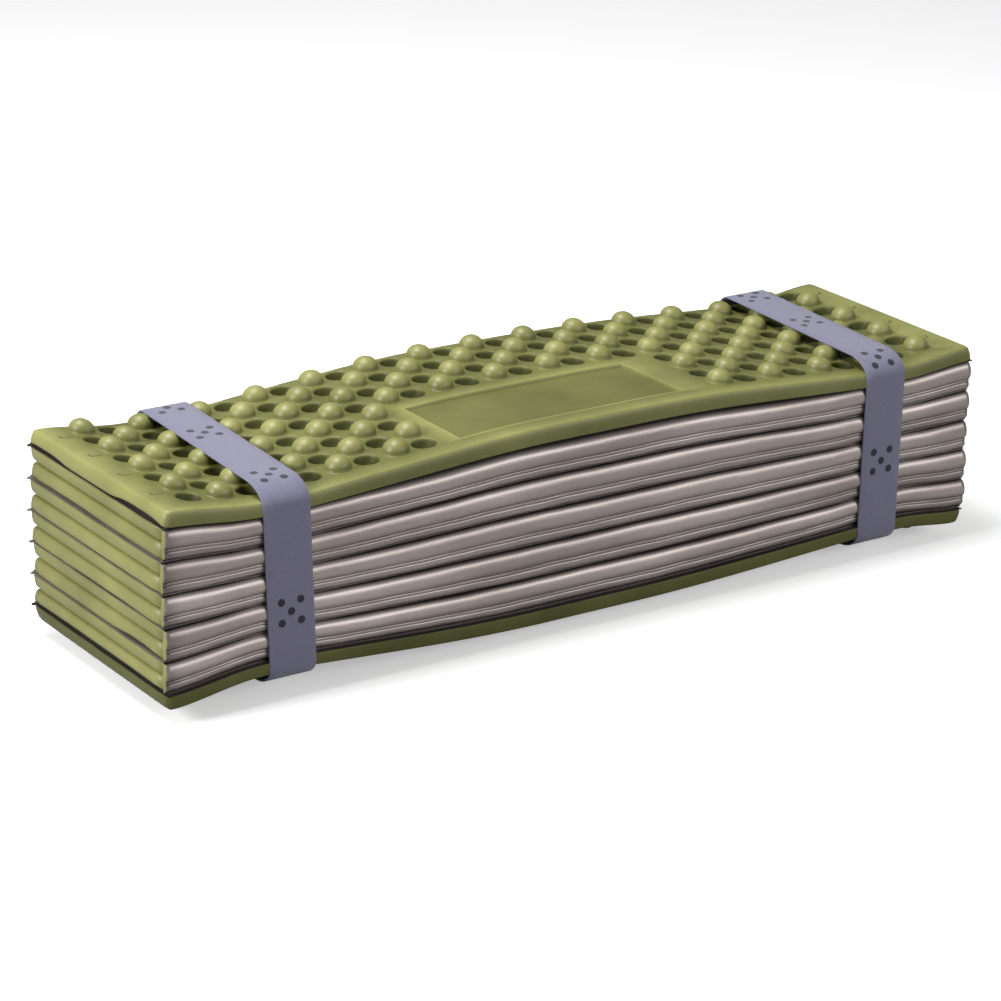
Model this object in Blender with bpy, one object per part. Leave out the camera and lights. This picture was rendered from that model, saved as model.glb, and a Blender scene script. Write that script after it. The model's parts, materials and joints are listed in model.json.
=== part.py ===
"""A concertina-folded foam sleeping mat, held shut by two elastic straps.

The folded mat lies along X. Its front, where the film shows, faces -Y, and it stands on the
bumps of its lowest panel at Z = 0. Panels are numbered from the top, 1, down to PANEL_COUNT.
Film sides face each other at the back folds, green sides face each other at the front folds.
"""

import math

import bmesh
import bpy
from mathutils import Matrix, Vector

# The mat, in metres
MAT_WIDTH = 0.55            # length of a panel, along X
PANEL_DEPTH = 0.155         # depth of the folded mat without straps, along Y
PANEL_COUNT = 12            # even, so that both outer faces are green
PANEL_PITCH = 0.0094        # thickness of one panel with its film
FILM_THICKNESS = 0.0004
EDGE_ROUND = 0.004          # rounding of a panel's rim on its green side
FOLD_FOAM = 0.0034          # foam left in the strip round a front fold
CLEARANCE = 0.0003          # gap between touching pieces

# Moulded bumps of the two outer green faces
BUMP_HEIGHT = 0.0075
BUMP_RADIUS = 0.0070
BUMP_TOP_RADIUS = 0.0034
BUMP_SIDES = 6
BUMP_SINK = 0.0010          # how deep a bump's foot goes into the panel
BUMP_PITCH_X = 0.0184       # from a bump to the next pit, along X
BUMP_PITCH_Y = 0.0172
RIM_END = 0.0150            # plain rim beside the bumps' cells, at a panel's ends
RIM_FRONT = 0.0130
RIM_BACK = 0.0040
BARE_HALF_LENGTH = 0.092    # bare field on the top face's front half
BARE_ROWS = 4

# Elastic straps
STRAP_WIDTH = 0.029
STRAP_THICKNESS = 0.0012
STRAP_INSET_LEFT = 0.0745   # from the mat's end to the strap's centre line
STRAP_INSET_RIGHT = 0.0645
STRAP_CORNER = 0.004        # how far a strap's rounded corner reaches down the front
STRAP_CORNER_STEPS = 5
LAP_LENGTH = 0.028          # sewn lap of the webbing, on the back
TACK_LENGTH = 0.0030        # bar tack through the lap
TACK_HEIGHT = 0.0005
TACK_INSET = 0.0030         # from the tack's ends to the webbing's edge

# How far the straps squeeze the stack and let it bulge between them, at its two faces
SQUEEZE_TOP = {"left": -0.0060, "middle": 0.0040, "right": -0.0040}
SQUEEZE_BOTTOM = {"left": 0.0070, "middle": -0.0012, "right": 0.0048}
BULGE_HALF_LENGTH = 0.080   # level stretch of the bulge between the straps
STATIONS_PER_SPAN = 3       # cross-sections on each curved stretch

FOAM_GREEN = (0.30, 0.33, 0.09)
FILM_SILVER = (0.42, 0.38, 0.35)
WEBBING_LAVENDER = (0.22, 0.22, 0.34)
THREAD_DARK = (0.03, 0.03, 0.05)

STACK_HEIGHT = PANEL_COUNT * PANEL_PITCH
STACK_BASE = BUMP_HEIGHT - SQUEEZE_BOTTOM["middle"]
HALF_LENGTH = MAT_WIDTH / 2
HALF_DEPTH = PANEL_DEPTH / 2
HALF_GAP = CLEARANCE / 2
SPINE_DEPTH = HALF_GAP + FILM_THICKNESS + CLEARANCE + FOLD_FOAM
STRAP_CENTRES = {"left": STRAP_INSET_LEFT - HALF_LENGTH, "right": HALF_LENGTH - STRAP_INSET_RIGHT}
BUMP_COLUMNS = 2 * int((HALF_LENGTH - RIM_END) / BUMP_PITCH_X)
BUMP_ROWS = int((PANEL_DEPTH - RIM_FRONT - RIM_BACK) / BUMP_PITCH_Y)
BUMP_CENTRE_Y = (RIM_FRONT - RIM_BACK) / 2


def smooth(t):
    """Ease from 0 to 1 with level ends."""
    t = min(max(t, 0.0), 1.0)
    return t * t * (3 - 2 * t)


def squeeze_knots(squeeze):
    """(x, offset) of the level stretches between which a face curves."""
    half = STRAP_WIDTH / 2
    left, right = STRAP_CENTRES["left"], STRAP_CENTRES["right"]
    return [
        (-HALF_LENGTH, 0.0),
        (left - half, squeeze["left"]),
        (left + half, squeeze["left"]),
        (-BULGE_HALF_LENGTH, squeeze["middle"]),
        (BULGE_HALF_LENGTH, squeeze["middle"]),
        (right - half, squeeze["right"]),
        (right + half, squeeze["right"]),
        (HALF_LENGTH, 0.0),
    ]


def face_offset(squeeze, x):
    """Offset of the top or bottom face of the stack at x."""
    knots = squeeze_knots(squeeze)
    for (x0, a), (x1, b) in zip(knots, knots[1:]):
        if x <= x1:
            return a + (b - a) * smooth((x - x0) / (x1 - x0))
    return 0.0


def stack_offset(x, height):
    """Offset of the stack at x and at a height above its lowest face."""
    share = min(max(height / STACK_HEIGHT, 0.0), 1.0)
    low = face_offset(SQUEEZE_BOTTOM, x)
    return low + (face_offset(SQUEEZE_TOP, x) - low) * share


def stations():
    """The x values of the cross-sections where a panel may bend."""
    xs = [knot[0] for knot in squeeze_knots(SQUEEZE_TOP)]
    cuts = []
    for x0, x1 in zip(xs, xs[1:]):
        level = x1 - x0 < STRAP_WIDTH * 1.001 or x0 == -BULGE_HALF_LENGTH
        steps = 1 if level else STATIONS_PER_SPAN
        cuts += [x0 + (x1 - x0) * i / steps for i in range(steps)]
    return cuts[1:]


def material(name, colour, roughness, metallic):
    """A plain Principled finish."""
    mat = bpy.data.materials.new(name)
    mat.use_nodes = True
    shader = mat.node_tree.nodes["Principled BSDF"]
    shader.inputs["Base Color"].default_value = (*colour, 1.0)
    shader.inputs["Roughness"].default_value = roughness
    shader.inputs["Metallic"].default_value = metallic
    return mat


def box_mesh(low, high):
    """A bmesh box between two corners."""
    bm = bmesh.new()
    bmesh.ops.create_cube(bm, size=1.0)
    centre = (Vector(low) + Vector(high)) / 2
    size = Vector(high) - Vector(low)
    bmesh.ops.transform(bm, matrix=Matrix.Translation(centre) @ Matrix.Diagonal((*size, 1.0)), verts=bm.verts)
    return bm


def round_edges(bm, chosen, offset, segments):
    """Bevel the edges for which chosen(vertex, vertex) holds."""
    edges = [edge for edge in bm.edges if chosen(*edge.verts)]
    bmesh.ops.bevel(bm, geom=edges, offset=offset, segments=segments, profile=0.5, affect="EDGES")


def cut_at_stations(bm):
    """Give the mesh a cross-section at each station, so that it can follow the squeeze."""
    for x in stations():
        geom = list(bm.verts) + list(bm.edges) + list(bm.faces)
        bmesh.ops.bisect_plane(bm, geom=geom, plane_co=(x, 0, 0), plane_no=(1, 0, 0), dist=1e-7)


def apply_squeeze(mesh):
    """Move each vertex of a mesh up or down with the squeezed stack."""
    for vertex in mesh.vertices:
        height = vertex.co.z - STACK_BASE
        vertex.co.z += stack_offset(vertex.co.x, height)


def place(name, mesh, origin, finish, collection):
    """Add an object whose origin is at a point on its joint's axis."""
    mesh.transform(Matrix.Translation(-Vector(origin)))
    mesh.materials.clear()
    mesh.materials.append(finish)
    obj = bpy.data.objects.new(name, mesh)
    obj.location = origin
    collection.objects.link(obj)
    return obj


def to_mesh(bm, name):
    """Finish a bmesh as a mesh."""
    bmesh.ops.recalc_face_normals(bm, faces=bm.faces)
    mesh = bpy.data.meshes.new(name)
    bm.to_mesh(mesh)
    bm.free()
    return mesh


def panel_levels(number):
    """Heights of a panel's film plane and green plane in the unsqueezed stack."""
    low = STACK_BASE + (PANEL_COUNT - number) * PANEL_PITCH
    high = low + PANEL_PITCH
    return (low, high) if number % 2 else (high, low)


def has_front_fold(number):
    """Whether a panel joins its neighbour round a front fold."""
    return 1 < number < PANEL_COUNT


def panel_origin(number):
    """A point on the axis that a panel turns on.

    At a back fold that is the film's back edge. At a front fold the film of the strip lies flat
    once the mat is open, so the axis is half a strip in front of the mat, level with the green faces.
    """
    if number == PANEL_COUNT:
        return (0.0, 0.0, 0.0)
    film_plane, green_plane = panel_levels(number)
    if number % 2:
        return (0.0, HALF_DEPTH, film_plane)
    return (0.0, -HALF_DEPTH - PANEL_PITCH, green_plane)


def panel_front(number):
    """The y of the foam's front edge: behind the fold's strip, or at the mat's free edge."""
    inset = SPINE_DEPTH + CLEARANCE if has_front_fold(number) else HALF_GAP
    return -HALF_DEPTH + inset


def bump_places(number):
    """Centres of the bumps on an outer panel's green face, every second cell of a grid."""
    places = []
    for row in range(BUMP_ROWS):
        y = BUMP_CENTRE_Y + (row - (BUMP_ROWS - 1) / 2) * BUMP_PITCH_Y
        for column in range(BUMP_COLUMNS):
            x = (column - (BUMP_COLUMNS - 1) / 2) * BUMP_PITCH_X
            bare = number == 1 and row < BARE_ROWS and abs(x) < BARE_HALF_LENGTH
            if (row + column) % 2 and not bare:
                places.append((x, y))
    return places


def bump_cutter(number, cutters):
    """All bumps of an outer face as one mesh of truncated cones, to be joined to the panel."""
    green = panel_levels(number)[1]
    up = 1 if number % 2 else -1
    bm = bmesh.new()
    for x, y in bump_places(number):
        centre = Matrix.Translation((x, y, green + up * (BUMP_HEIGHT - BUMP_SINK) / 2))
        turn = Matrix.Identity(4) if up > 0 else Matrix.Rotation(math.pi, 4, "X")
        bmesh.ops.create_cone(
            bm, cap_ends=True, segments=BUMP_SIDES, radius1=BUMP_RADIUS, radius2=BUMP_TOP_RADIUS,
            depth=BUMP_HEIGHT + BUMP_SINK, matrix=centre @ turn,
        )
    cutter = bpy.data.objects.new(f"bumps_{number:02d}_cutter", to_mesh(bm, f"bumps_{number:02d}"))
    cutter.hide_render = True
    cutter.display_type = "WIRE"
    cutters.objects.link(cutter)
    return cutter


def join_bumps(mesh, number, parts, cutters):
    """The panel's mesh with its bumps joined on, triangulated while its faces are flat."""
    blank = bpy.data.objects.new(f"blank_{number:02d}", mesh)
    parts.objects.link(blank)
    union = blank.modifiers.new("bumps", "BOOLEAN")
    union.operation = "UNION"
    union.solver = "EXACT"
    union.object = bump_cutter(number, cutters)
    graph = bpy.context.evaluated_depsgraph_get()
    joined = bpy.data.meshes.new_from_object(blank.evaluated_get(graph))
    bpy.data.objects.remove(blank)
    bm = bmesh.new()
    bm.from_mesh(joined)
    bmesh.ops.triangulate(bm, faces=bm.faces)
    return to_mesh(bm, f"foam_{number:02d}")


def foam_panel(number, finish, parts, cutters):
    """One moulded foam panel with a rim rounded towards its green face."""
    film_plane, green_plane = panel_levels(number)
    up = 1 if green_plane > film_plane else -1
    film_side = film_plane + up * (HALF_GAP + FILM_THICKNESS + CLEARANCE)
    green_side = green_plane - up * HALF_GAP
    low = (-HALF_LENGTH, panel_front(number), min(film_side, green_side))
    high = (HALF_LENGTH, HALF_DEPTH - HALF_GAP, max(film_side, green_side))
    bm = box_mesh(low, high)
    on_green = lambda a, b: abs(a.co.z - green_side) < 1e-6 and abs(b.co.z - green_side) < 1e-6
    round_edges(bm, on_green, EDGE_ROUND, 2)
    cut_at_stations(bm)
    mesh = to_mesh(bm, f"foam_{number:02d}")
    if number in (1, PANEL_COUNT):
        mesh = join_bumps(mesh, number, parts, cutters)
    apply_squeeze(mesh)
    return place(f"foam_{number:02d}", mesh, panel_origin(number), finish, parts)


def film_panel(number, finish, parts):
    """The aluminised film on one panel."""
    film_plane, green_plane = panel_levels(number)
    up = 1 if green_plane > film_plane else -1
    near = film_plane + up * HALF_GAP
    far = near + up * FILM_THICKNESS
    low = (-HALF_LENGTH, -HALF_DEPTH + HALF_GAP, min(near, far))
    high = (HALF_LENGTH, HALF_DEPTH - HALF_GAP, max(near, far))
    bm = box_mesh(low, high)
    cut_at_stations(bm)
    mesh = to_mesh(bm, f"film_{number:02d}")
    apply_squeeze(mesh)
    return place(f"film_{number:02d}", mesh, panel_origin(number), finish, parts)


def spine_box(upper, front, depth):
    """A strip round the front fold below an even panel, between its two hinge lines."""
    top = panel_levels(upper)[0]
    bottom = panel_levels(upper + 1)[0]
    inset = HALF_GAP + FILM_THICKNESS + CLEARANCE
    low = (-HALF_LENGTH, front, bottom + inset)
    high = (HALF_LENGTH, front + depth, top - inset)
    return box_mesh(low, high)


def spine_foam(upper, finish, parts):
    """Foam strip of a front fold, mitred behind so that the panels can open round it."""
    front = -HALF_DEPTH + HALF_GAP + FILM_THICKNESS + CLEARANCE
    back = front + FOLD_FOAM
    bm = spine_box(upper, front, FOLD_FOAM)
    along_back = lambda a, b: min(a.co.y, b.co.y) > back - 1e-6 and abs(a.co.x - b.co.x) > HALF_LENGTH
    round_edges(bm, along_back, FOLD_FOAM - CLEARANCE, 1)
    cut_at_stations(bm)
    name = f"spine_foam_{upper:02d}_{upper + 1:02d}"
    mesh = to_mesh(bm, name)
    apply_squeeze(mesh)
    hinge = (0.0, -HALF_DEPTH, panel_levels(upper + 1)[0])
    return place(name, mesh, hinge, finish, parts)


def spine_film(upper, finish, parts):
    """Film over the foam strip of a front fold."""
    bm = spine_box(upper, -HALF_DEPTH + HALF_GAP, FILM_THICKNESS)
    cut_at_stations(bm)
    name = f"spine_film_{upper:02d}_{upper + 1:02d}"
    mesh = to_mesh(bm, name)
    apply_squeeze(mesh)
    hinge = (0.0, -HALF_DEPTH, panel_levels(upper + 1)[0])
    return place(name, mesh, hinge, finish, parts)


def strap_heights(side):
    """Lowest and highest bump tips under a strap."""
    low = STACK_BASE - BUMP_HEIGHT + SQUEEZE_BOTTOM[side]
    high = STACK_BASE + STACK_HEIGHT + BUMP_HEIGHT + SQUEEZE_TOP[side]
    return low, high


def strap_outline(side, offset):
    """Points round a strap in Y and Z: over the bumps and down the faces, with rounded corners."""
    low, high = strap_heights(side)
    low, high = low - offset, high + offset
    out = HALF_DEPTH + offset
    last_bump = (BUMP_ROWS - 1) / 2 * BUMP_PITCH_Y + BUMP_TOP_RADIUS
    reach_z = BUMP_HEIGHT + STRAP_CORNER + offset
    points = []
    for sy, sz in ((1, 1), (-1, 1), (-1, -1), (1, -1)):
        end_z = high if sz > 0 else low
        reach_y = out - last_bump - sy * BUMP_CENTRE_Y
        corner = []
        for step in range(STRAP_CORNER_STEPS + 1):
            turn = math.pi / 2 * step / STRAP_CORNER_STEPS
            y = sy * (out - reach_y * (1 - math.cos(turn)))
            z = end_z - sz * reach_z * (1 - math.sin(turn))
            corner.append((y, z))
        points += corner if sy * sz > 0 else corner[::-1]
    return points


def strap_loop(side, finish, parts):
    """An elastic strap: a flat outline with the mat's opening, as thick as the webbing is wide."""
    curve = bpy.data.curves.new(f"strap_{side}", "CURVE")
    curve.dimensions = "2D"
    curve.fill_mode = "BOTH"
    curve.extrude = STRAP_WIDTH / 2
    for offset in (CLEARANCE, CLEARANCE + STRAP_THICKNESS):
        outline = strap_outline(side, offset)
        spline = curve.splines.new("POLY")
        spline.points.add(len(outline) - 1)
        for point, (y, z) in zip(spline.points, outline):
            point.co = (y, z, 0.0, 1.0)
        spline.use_cyclic_u = True
    flat = bpy.data.objects.new(f"strap_{side}_outline", curve)
    parts.objects.link(flat)
    graph = bpy.context.evaluated_depsgraph_get()
    mesh = bpy.data.meshes.new_from_object(flat.evaluated_get(graph))
    bpy.data.objects.remove(flat)
    centre = (STRAP_CENTRES[side], 0.0, 0.0)
    to_yz = Matrix(((0, 0, 1, 0), (1, 0, 0, 0), (0, 1, 0, 0), (0, 0, 0, 1)))
    mesh.transform(Matrix.Translation(centre) @ to_yz)
    bm = bmesh.new()
    bm.from_mesh(mesh)
    bmesh.ops.remove_doubles(bm, verts=bm.verts, dist=1e-6)
    return place(f"strap_{side}", to_mesh(bm, f"strap_{side}"), centre, finish, parts)


def strap_lap(side, webbing, thread, parts):
    """The sewn lap that closes a strap's loop behind the mat, and its bar tack."""
    x = STRAP_CENTRES[side]
    low, high = strap_heights(side)
    z = (low + high) / 2
    inner = HALF_DEPTH + STRAP_THICKNESS + 2 * CLEARANCE
    outer = inner + STRAP_THICKNESS
    half = STRAP_WIDTH / 2
    lap = box_mesh((x - half, inner, z - LAP_LENGTH / 2), (x + half, outer, z + LAP_LENGTH / 2))
    place(f"strap_{side}_lap", to_mesh(lap, f"strap_{side}_lap"), (x, 0.0, 0.0), webbing, parts)
    reach = half - TACK_INSET
    low_corner = (x - reach, outer + CLEARANCE, z - TACK_LENGTH / 2)
    high_corner = (x + reach, outer + CLEARANCE + TACK_HEIGHT, z + TACK_LENGTH / 2)
    tack = box_mesh(low_corner, high_corner)
    place(f"strap_{side}_tack", to_mesh(tack, f"strap_{side}_tack"), (x, 0.0, 0.0), thread, parts)


def collection(name):
    """A new collection in the scene."""
    made = bpy.data.collections.new(name)
    bpy.context.scene.collection.children.link(made)
    return made


def main():
    for obj in list(bpy.data.objects):
        bpy.data.objects.remove(obj, do_unlink=True)
    parts = collection("foam_sleeping_pad")
    cutters = collection("cutters")
    green = material("foam_green", FOAM_GREEN, 0.55, 0.0)
    silver = material("film_silver", FILM_SILVER, 0.35, 0.7)
    webbing = material("webbing_lavender", WEBBING_LAVENDER, 0.85, 0.0)
    thread = material("thread_dark", THREAD_DARK, 0.8, 0.0)
    for number in range(1, PANEL_COUNT + 1):
        foam_panel(number, green, parts, cutters)
        film_panel(number, silver, parts)
    for upper in range(2, PANEL_COUNT, 2):
        spine_foam(upper, green, parts)
        spine_film(upper, silver, parts)
    for side in STRAP_CENTRES:
        strap_loop(side, webbing, parts)
        strap_lap(side, webbing, thread, parts)


if __name__ == "__main__":
    main()
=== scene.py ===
"""Visual model of a concertina-folded foam sleeping mat held shut by two elastic straps.

The mat lies along X with its silver folds towards -Y and stands on the bumps of its lowest
panel at Z = 0. Every piece follows one shared field of squeeze and sag, so that pieces which
touch keep touching, and each piece takes its sizes from the frame that it replaces.
"""

import json
import logging
import math
from dataclasses import dataclass
from enum import Enum, IntEnum
from typing import Sequence

import bpy
import numpy as np
from mathutils import Matrix, Vector, kdtree

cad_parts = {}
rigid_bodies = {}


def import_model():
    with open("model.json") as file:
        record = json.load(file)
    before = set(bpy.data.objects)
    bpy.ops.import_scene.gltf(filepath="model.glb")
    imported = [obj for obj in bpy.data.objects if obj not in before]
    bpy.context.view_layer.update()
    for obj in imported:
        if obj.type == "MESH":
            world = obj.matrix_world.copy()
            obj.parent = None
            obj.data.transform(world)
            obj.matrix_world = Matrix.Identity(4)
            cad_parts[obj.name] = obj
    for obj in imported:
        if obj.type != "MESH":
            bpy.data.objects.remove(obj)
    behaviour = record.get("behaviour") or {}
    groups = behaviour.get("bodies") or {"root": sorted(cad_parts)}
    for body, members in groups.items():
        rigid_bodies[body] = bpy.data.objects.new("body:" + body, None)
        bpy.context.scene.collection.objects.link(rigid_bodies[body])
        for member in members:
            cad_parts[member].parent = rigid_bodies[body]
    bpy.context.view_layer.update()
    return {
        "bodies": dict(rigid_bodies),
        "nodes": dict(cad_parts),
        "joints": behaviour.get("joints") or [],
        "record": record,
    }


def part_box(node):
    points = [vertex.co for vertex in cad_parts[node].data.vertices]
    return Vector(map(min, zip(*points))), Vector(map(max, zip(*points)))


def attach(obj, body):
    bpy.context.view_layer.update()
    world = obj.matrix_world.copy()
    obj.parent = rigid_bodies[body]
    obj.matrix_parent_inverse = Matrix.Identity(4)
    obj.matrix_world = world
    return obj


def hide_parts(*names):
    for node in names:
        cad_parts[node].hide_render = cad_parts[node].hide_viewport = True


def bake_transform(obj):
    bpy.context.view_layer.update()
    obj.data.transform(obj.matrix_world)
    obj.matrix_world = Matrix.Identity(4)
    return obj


log = logging.getLogger("sleeping_mat")
MILLIMETRE = 0.001


class Side(Enum):
    """The two elastic straps."""

    LEFT = "left"
    RIGHT = "right"


class Cell(IntEnum):
    """What stands on a cell of the moulded relief."""

    BUMP = 0
    PIT = 1
    BLOCK = 2


# Sizes


@dataclass(frozen=True)
class MatSizes:
    """The mat's sizes in metres, read from the frame."""

    half_length: float
    half_depth: float
    pitch: float
    base: float
    count: int

    @classmethod
    def from_frame(cls, frame: dict) -> "MatSizes":
        """Read the sizes from the joints and nodes of the frame.


        Returns:
            The sizes of the folded mat.
        """
        joints = {joint["name"]: joint for joint in frame["joints"]}
        backs = sorted(name for name in joints if name.startswith("back_fold"))
        top, bottom = joints[backs[0]]["pos_m"], joints[backs[-1]]["pos_m"]
        count = 2 * len(backs)
        pitch = (top[2] - bottom[2]) / (count - 2)
        low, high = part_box(f"film_{count:02d}")
        return cls((high.x - low.x) / 2, top[1], pitch, bottom[2] - pitch, count)

    @property
    def height(self) -> float:
        """Height of the unsqueezed stack without bumps."""
        return self.count * self.pitch

    def film_plane(self, number: int) -> float:
        """Height of the plane between a panel's film and its neighbour's."""
        low = self.base + (self.count - number) * self.pitch
        return low if number % 2 else low + self.pitch

    def green_plane(self, number: int) -> float:
        """Height of the plane between a panel's foam and its neighbour's."""
        return self.film_plane(number) + (self.pitch if number % 2 else -self.pitch)

    def is_outer(self, number: int) -> bool:
        """Whether a panel is the top or the bottom one."""
        return number in (1, self.count)


@dataclass(frozen=True)
class StrapSizes:
    """One strap's place and section, read from its node."""

    side: Side
    centre: float
    width: float
    low: float
    high: float
    thickness: float

    @classmethod
    def from_frame(cls, side: Side) -> "StrapSizes":
        """Read a strap's sizes from its node and its lap's."""
        low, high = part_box(f"strap_{side.value}")
        lap_low, lap_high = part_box(f"strap_{side.value}_lap")
        thickness = lap_high.y - lap_low.y
        return cls(side, (low.x + high.x) / 2, high.x - low.x, low.z, high.z, thickness)


@dataclass(frozen=True)
class ReliefSizes:
    """The moulded pattern of the green faces, whose inner bumps nest in the next face's pits."""

    pitch_x: float = 0.0184
    pitch_y: float = 0.0172
    columns: int = 28
    rows: int = 8
    centre_y: float = 0.0045
    bump_height: float = 0.0076
    bump_radius: float = 0.0075
    pit_depth: float = 0.0060
    pit_radius: float = 0.0070
    nested_bump_height: float = 0.0064
    nested_bump_radius: float = 0.0062
    nested_pit_depth: float = 0.0070
    nested_pit_radius: float = 0.0072
    bare_rows: int = 4
    bare_half_length: float = 0.092

    def centre(self, column: int, row: int) -> tuple[float, float]:
        """Centre of a cell, on the panel."""
        x = (column - (self.columns - 1) / 2) * self.pitch_x
        return x, self.centre_y + (row - (self.rows - 1) / 2) * self.pitch_y


@dataclass(frozen=True)
class RecessSizes:
    """The shallow, bare label recess of the top face."""

    x_low: float = -0.0810
    x_high: float = 0.0690
    y_low: float = -0.0617
    y_high: float = -0.0050
    depth: float = 0.0017


@dataclass(frozen=True)
class MarkSizes:
    """The short cuts in the moulded skin beside the relief."""

    end_from_middle: float = 0.2620
    end_first: float = 0.0200
    end_spacing: float = 0.0344
    end_length: float = 0.0070
    back_from_edge: float = 0.0030
    back_spacing: float = 0.0368
    back_length: float = 0.0130
    width: float = 0.00055


@dataclass(frozen=True)
class RimRing:
    """One ring of a panel's rim: how far inside the outline and below the green face, in millimetres."""

    inset: float
    drop: float


@dataclass(frozen=True)
class SqueezeSizes:
    """How far a face of the stack is moved under the left strap, between them and under the right."""

    left: float
    middle: float
    right: float


# Shape of the strapped bundle


def wobble(values: np.ndarray, seed: int, lengths: Sequence[float]) -> np.ndarray:
    """Smooth repeatable noise between about -1 and 1.

    Args:
        values: places along one line, in metres.
        seed: picks the phases.
        lengths: wavelengths in metres, the strongest first.

    Returns:
        One value for each place.
    """
    phases = np.random.default_rng(seed).uniform(0, 2 * math.pi, len(lengths))
    total = np.zeros_like(np.asarray(values, float))
    for order, (length, phase) in enumerate(zip(lengths, phases)):
        total += np.sin(2 * math.pi * np.asarray(values) / length + phase) / (1.0 + 0.6 * order)
    return total / (1.0 + 0.35 * len(lengths))


def unit(values: np.ndarray) -> np.ndarray:
    """Limit values to between 0 and 1."""
    return np.clip(values, 0.0, 1.0)


def ease(t: np.ndarray) -> np.ndarray:
    """Ease from 0 to 1 with level ends."""
    t = unit(t)
    return t * t * (3 - 2 * t)


class Bundle:
    """The shared field that squeezes the stack under its straps and lets it bulge between them."""

    TOP = SqueezeSizes(-0.0060, 0.0040, -0.0040)
    BOTTOM = SqueezeSizes(0.0070, -0.0012, 0.0048)
    BULGE_HALF_LENGTH = 0.030
    SAG = 0.00035

    def __init__(self, sizes: MatSizes, straps: Sequence[StrapSizes]) -> None:
        self.sizes = sizes
        self.straps = {strap.side: strap for strap in straps}

    def face_offset(self, squeeze: SqueezeSizes, x: np.ndarray) -> np.ndarray:
        """Offset of one face of the stack at x."""
        left, right = self.straps[Side.LEFT], self.straps[Side.RIGHT]
        reach = self.sizes.half_length
        knots = [
            (-reach, 0.0),
            (left.centre - left.width / 2, squeeze.left),
            (left.centre + left.width / 2, squeeze.left),
            (-self.BULGE_HALF_LENGTH, squeeze.middle),
            (self.BULGE_HALF_LENGTH, squeeze.middle),
            (right.centre - right.width / 2, squeeze.right),
            (right.centre + right.width / 2, squeeze.right),
            (reach, 0.0),
        ]
        result = np.zeros_like(x)
        for order, ((x0, a), (x1, b)) in enumerate(zip(knots, knots[1:])):
            inside = (x >= x0) & (x <= x1)
            t = (x[inside] - x0) / (x1 - x0)
            share = ease(t)
            if order == 2:
                share = 0.35 * share + 0.65 * (1 - (1 - t) ** 2)
            if order == 4:
                share = 0.35 * share + 0.65 * t**2
            result[inside] = a + (b - a) * share
        return result

    def apply(self, points: np.ndarray) -> np.ndarray:
        """Move points of the flat stack to their places in the strapped bundle."""
        moved = np.array(points, float)
        x, y, z = moved[:, 0], moved[:, 1], moved[:, 2]
        share = unit((z - self.sizes.base) / self.sizes.height)
        low = self.face_offset(self.BOTTOM, x)
        moved[:, 2] += low + (self.face_offset(self.TOP, x) - low) * share
        sag = wobble(x, 11, (0.31, 0.17)) + 0.8 * wobble(x + 0.6 * y, 12, (0.23, 0.13))
        moved[:, 2] += self.SAG * sag * share
        return moved

    def free_span(self, x: np.ndarray) -> np.ndarray:
        """1 midway between the straps, falling to 0 beside and outside them."""
        left, right = self.straps[Side.LEFT], self.straps[Side.RIGHT]
        x0, x1 = left.centre + left.width * 0.5, right.centre - right.width * 0.5
        return ease((x - x0) / 0.09) * ease((x1 - x) / 0.09)

    def pinch(self, x: np.ndarray) -> np.ndarray:
        """1 under a strap, falling to 0 a strap's width beside it."""
        total = np.zeros_like(x)
        for strap in self.straps.values():
            away = np.abs(x - strap.centre) - strap.width * 0.5
            total = np.maximum(total, 1.0 - ease(away / (strap.width * 0.9)))
        return total


# Meshes


class MeshPlan:
    """Points, faces and attributes gathered for one mesh."""

    def __init__(self) -> None:
        self.points: list[np.ndarray] = []
        self.faces: list[tuple[int, ...]] = []
        self.count = 0

    def add_points(self, points: np.ndarray) -> np.ndarray:
        """Add points and return their indices."""
        first = self.count
        self.points.append(np.asarray(points, float))
        self.count += len(points)
        return first + np.arange(len(points))

    def add_grid(self, index: np.ndarray, flip: bool = False) -> None:
        """Add quads between the neighbours of a two-dimensional table of point indices."""
        a, b = index[:-1, :-1].ravel(), index[1:, :-1].ravel()
        c, d = index[1:, 1:].ravel(), index[:-1, 1:].ravel()
        order = (a, d, c, b) if flip else (a, b, c, d)
        self.faces += list(zip(*(part.tolist() for part in order)))

    def add_tube(self, rows: Sequence[np.ndarray], flip: bool = False) -> None:
        """Add quads between neighbouring rows of indices, each row closed on itself."""
        table = np.array(rows)
        self.add_grid(np.column_stack((table, table[:, :1])), flip)

    def add_caps(self, rows: Sequence[np.ndarray], flip: bool = True) -> None:
        """Close both ends of a tube whose section is two matching halves."""
        half = len(rows[0]) // 2
        for row, turned in ((rows[0], flip), (rows[-1], not flip)):
            self.add_grid(np.array([row[:half], row[half:][::-1]]), turned)

    def all_points(self) -> np.ndarray:
        """Every point as one array."""
        return np.concatenate(self.points)

    def loose(self, name: str) -> bpy.types.Object:
        """Make a bare object that an InstanceTree can set on points."""
        mesh = bpy.data.meshes.new(name)
        mesh.from_pydata(self.all_points().tolist(), [], self.faces)
        return bpy.data.objects.new(name, mesh)

    def build(
        self, name: str, finish: bpy.types.Material, points: np.ndarray | None = None
    ) -> bpy.types.Object:
        """Make the object.

        Args:
            name: the object's name.
            finish: its material.
            points: moved points to use in place of the gathered ones.

        Returns:
            A smooth-shaded object linked to the scene.
        """
        places = self.all_points() if points is None else points
        mesh = bpy.data.meshes.new(name)
        mesh.from_pydata(places.tolist(), [], self.faces)
        mesh.polygons.foreach_set("use_smooth", np.ones(len(mesh.polygons), bool))
        mesh.materials.append(finish)
        mesh.update()
        return link(bpy.data.objects.new(name, mesh))


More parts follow.
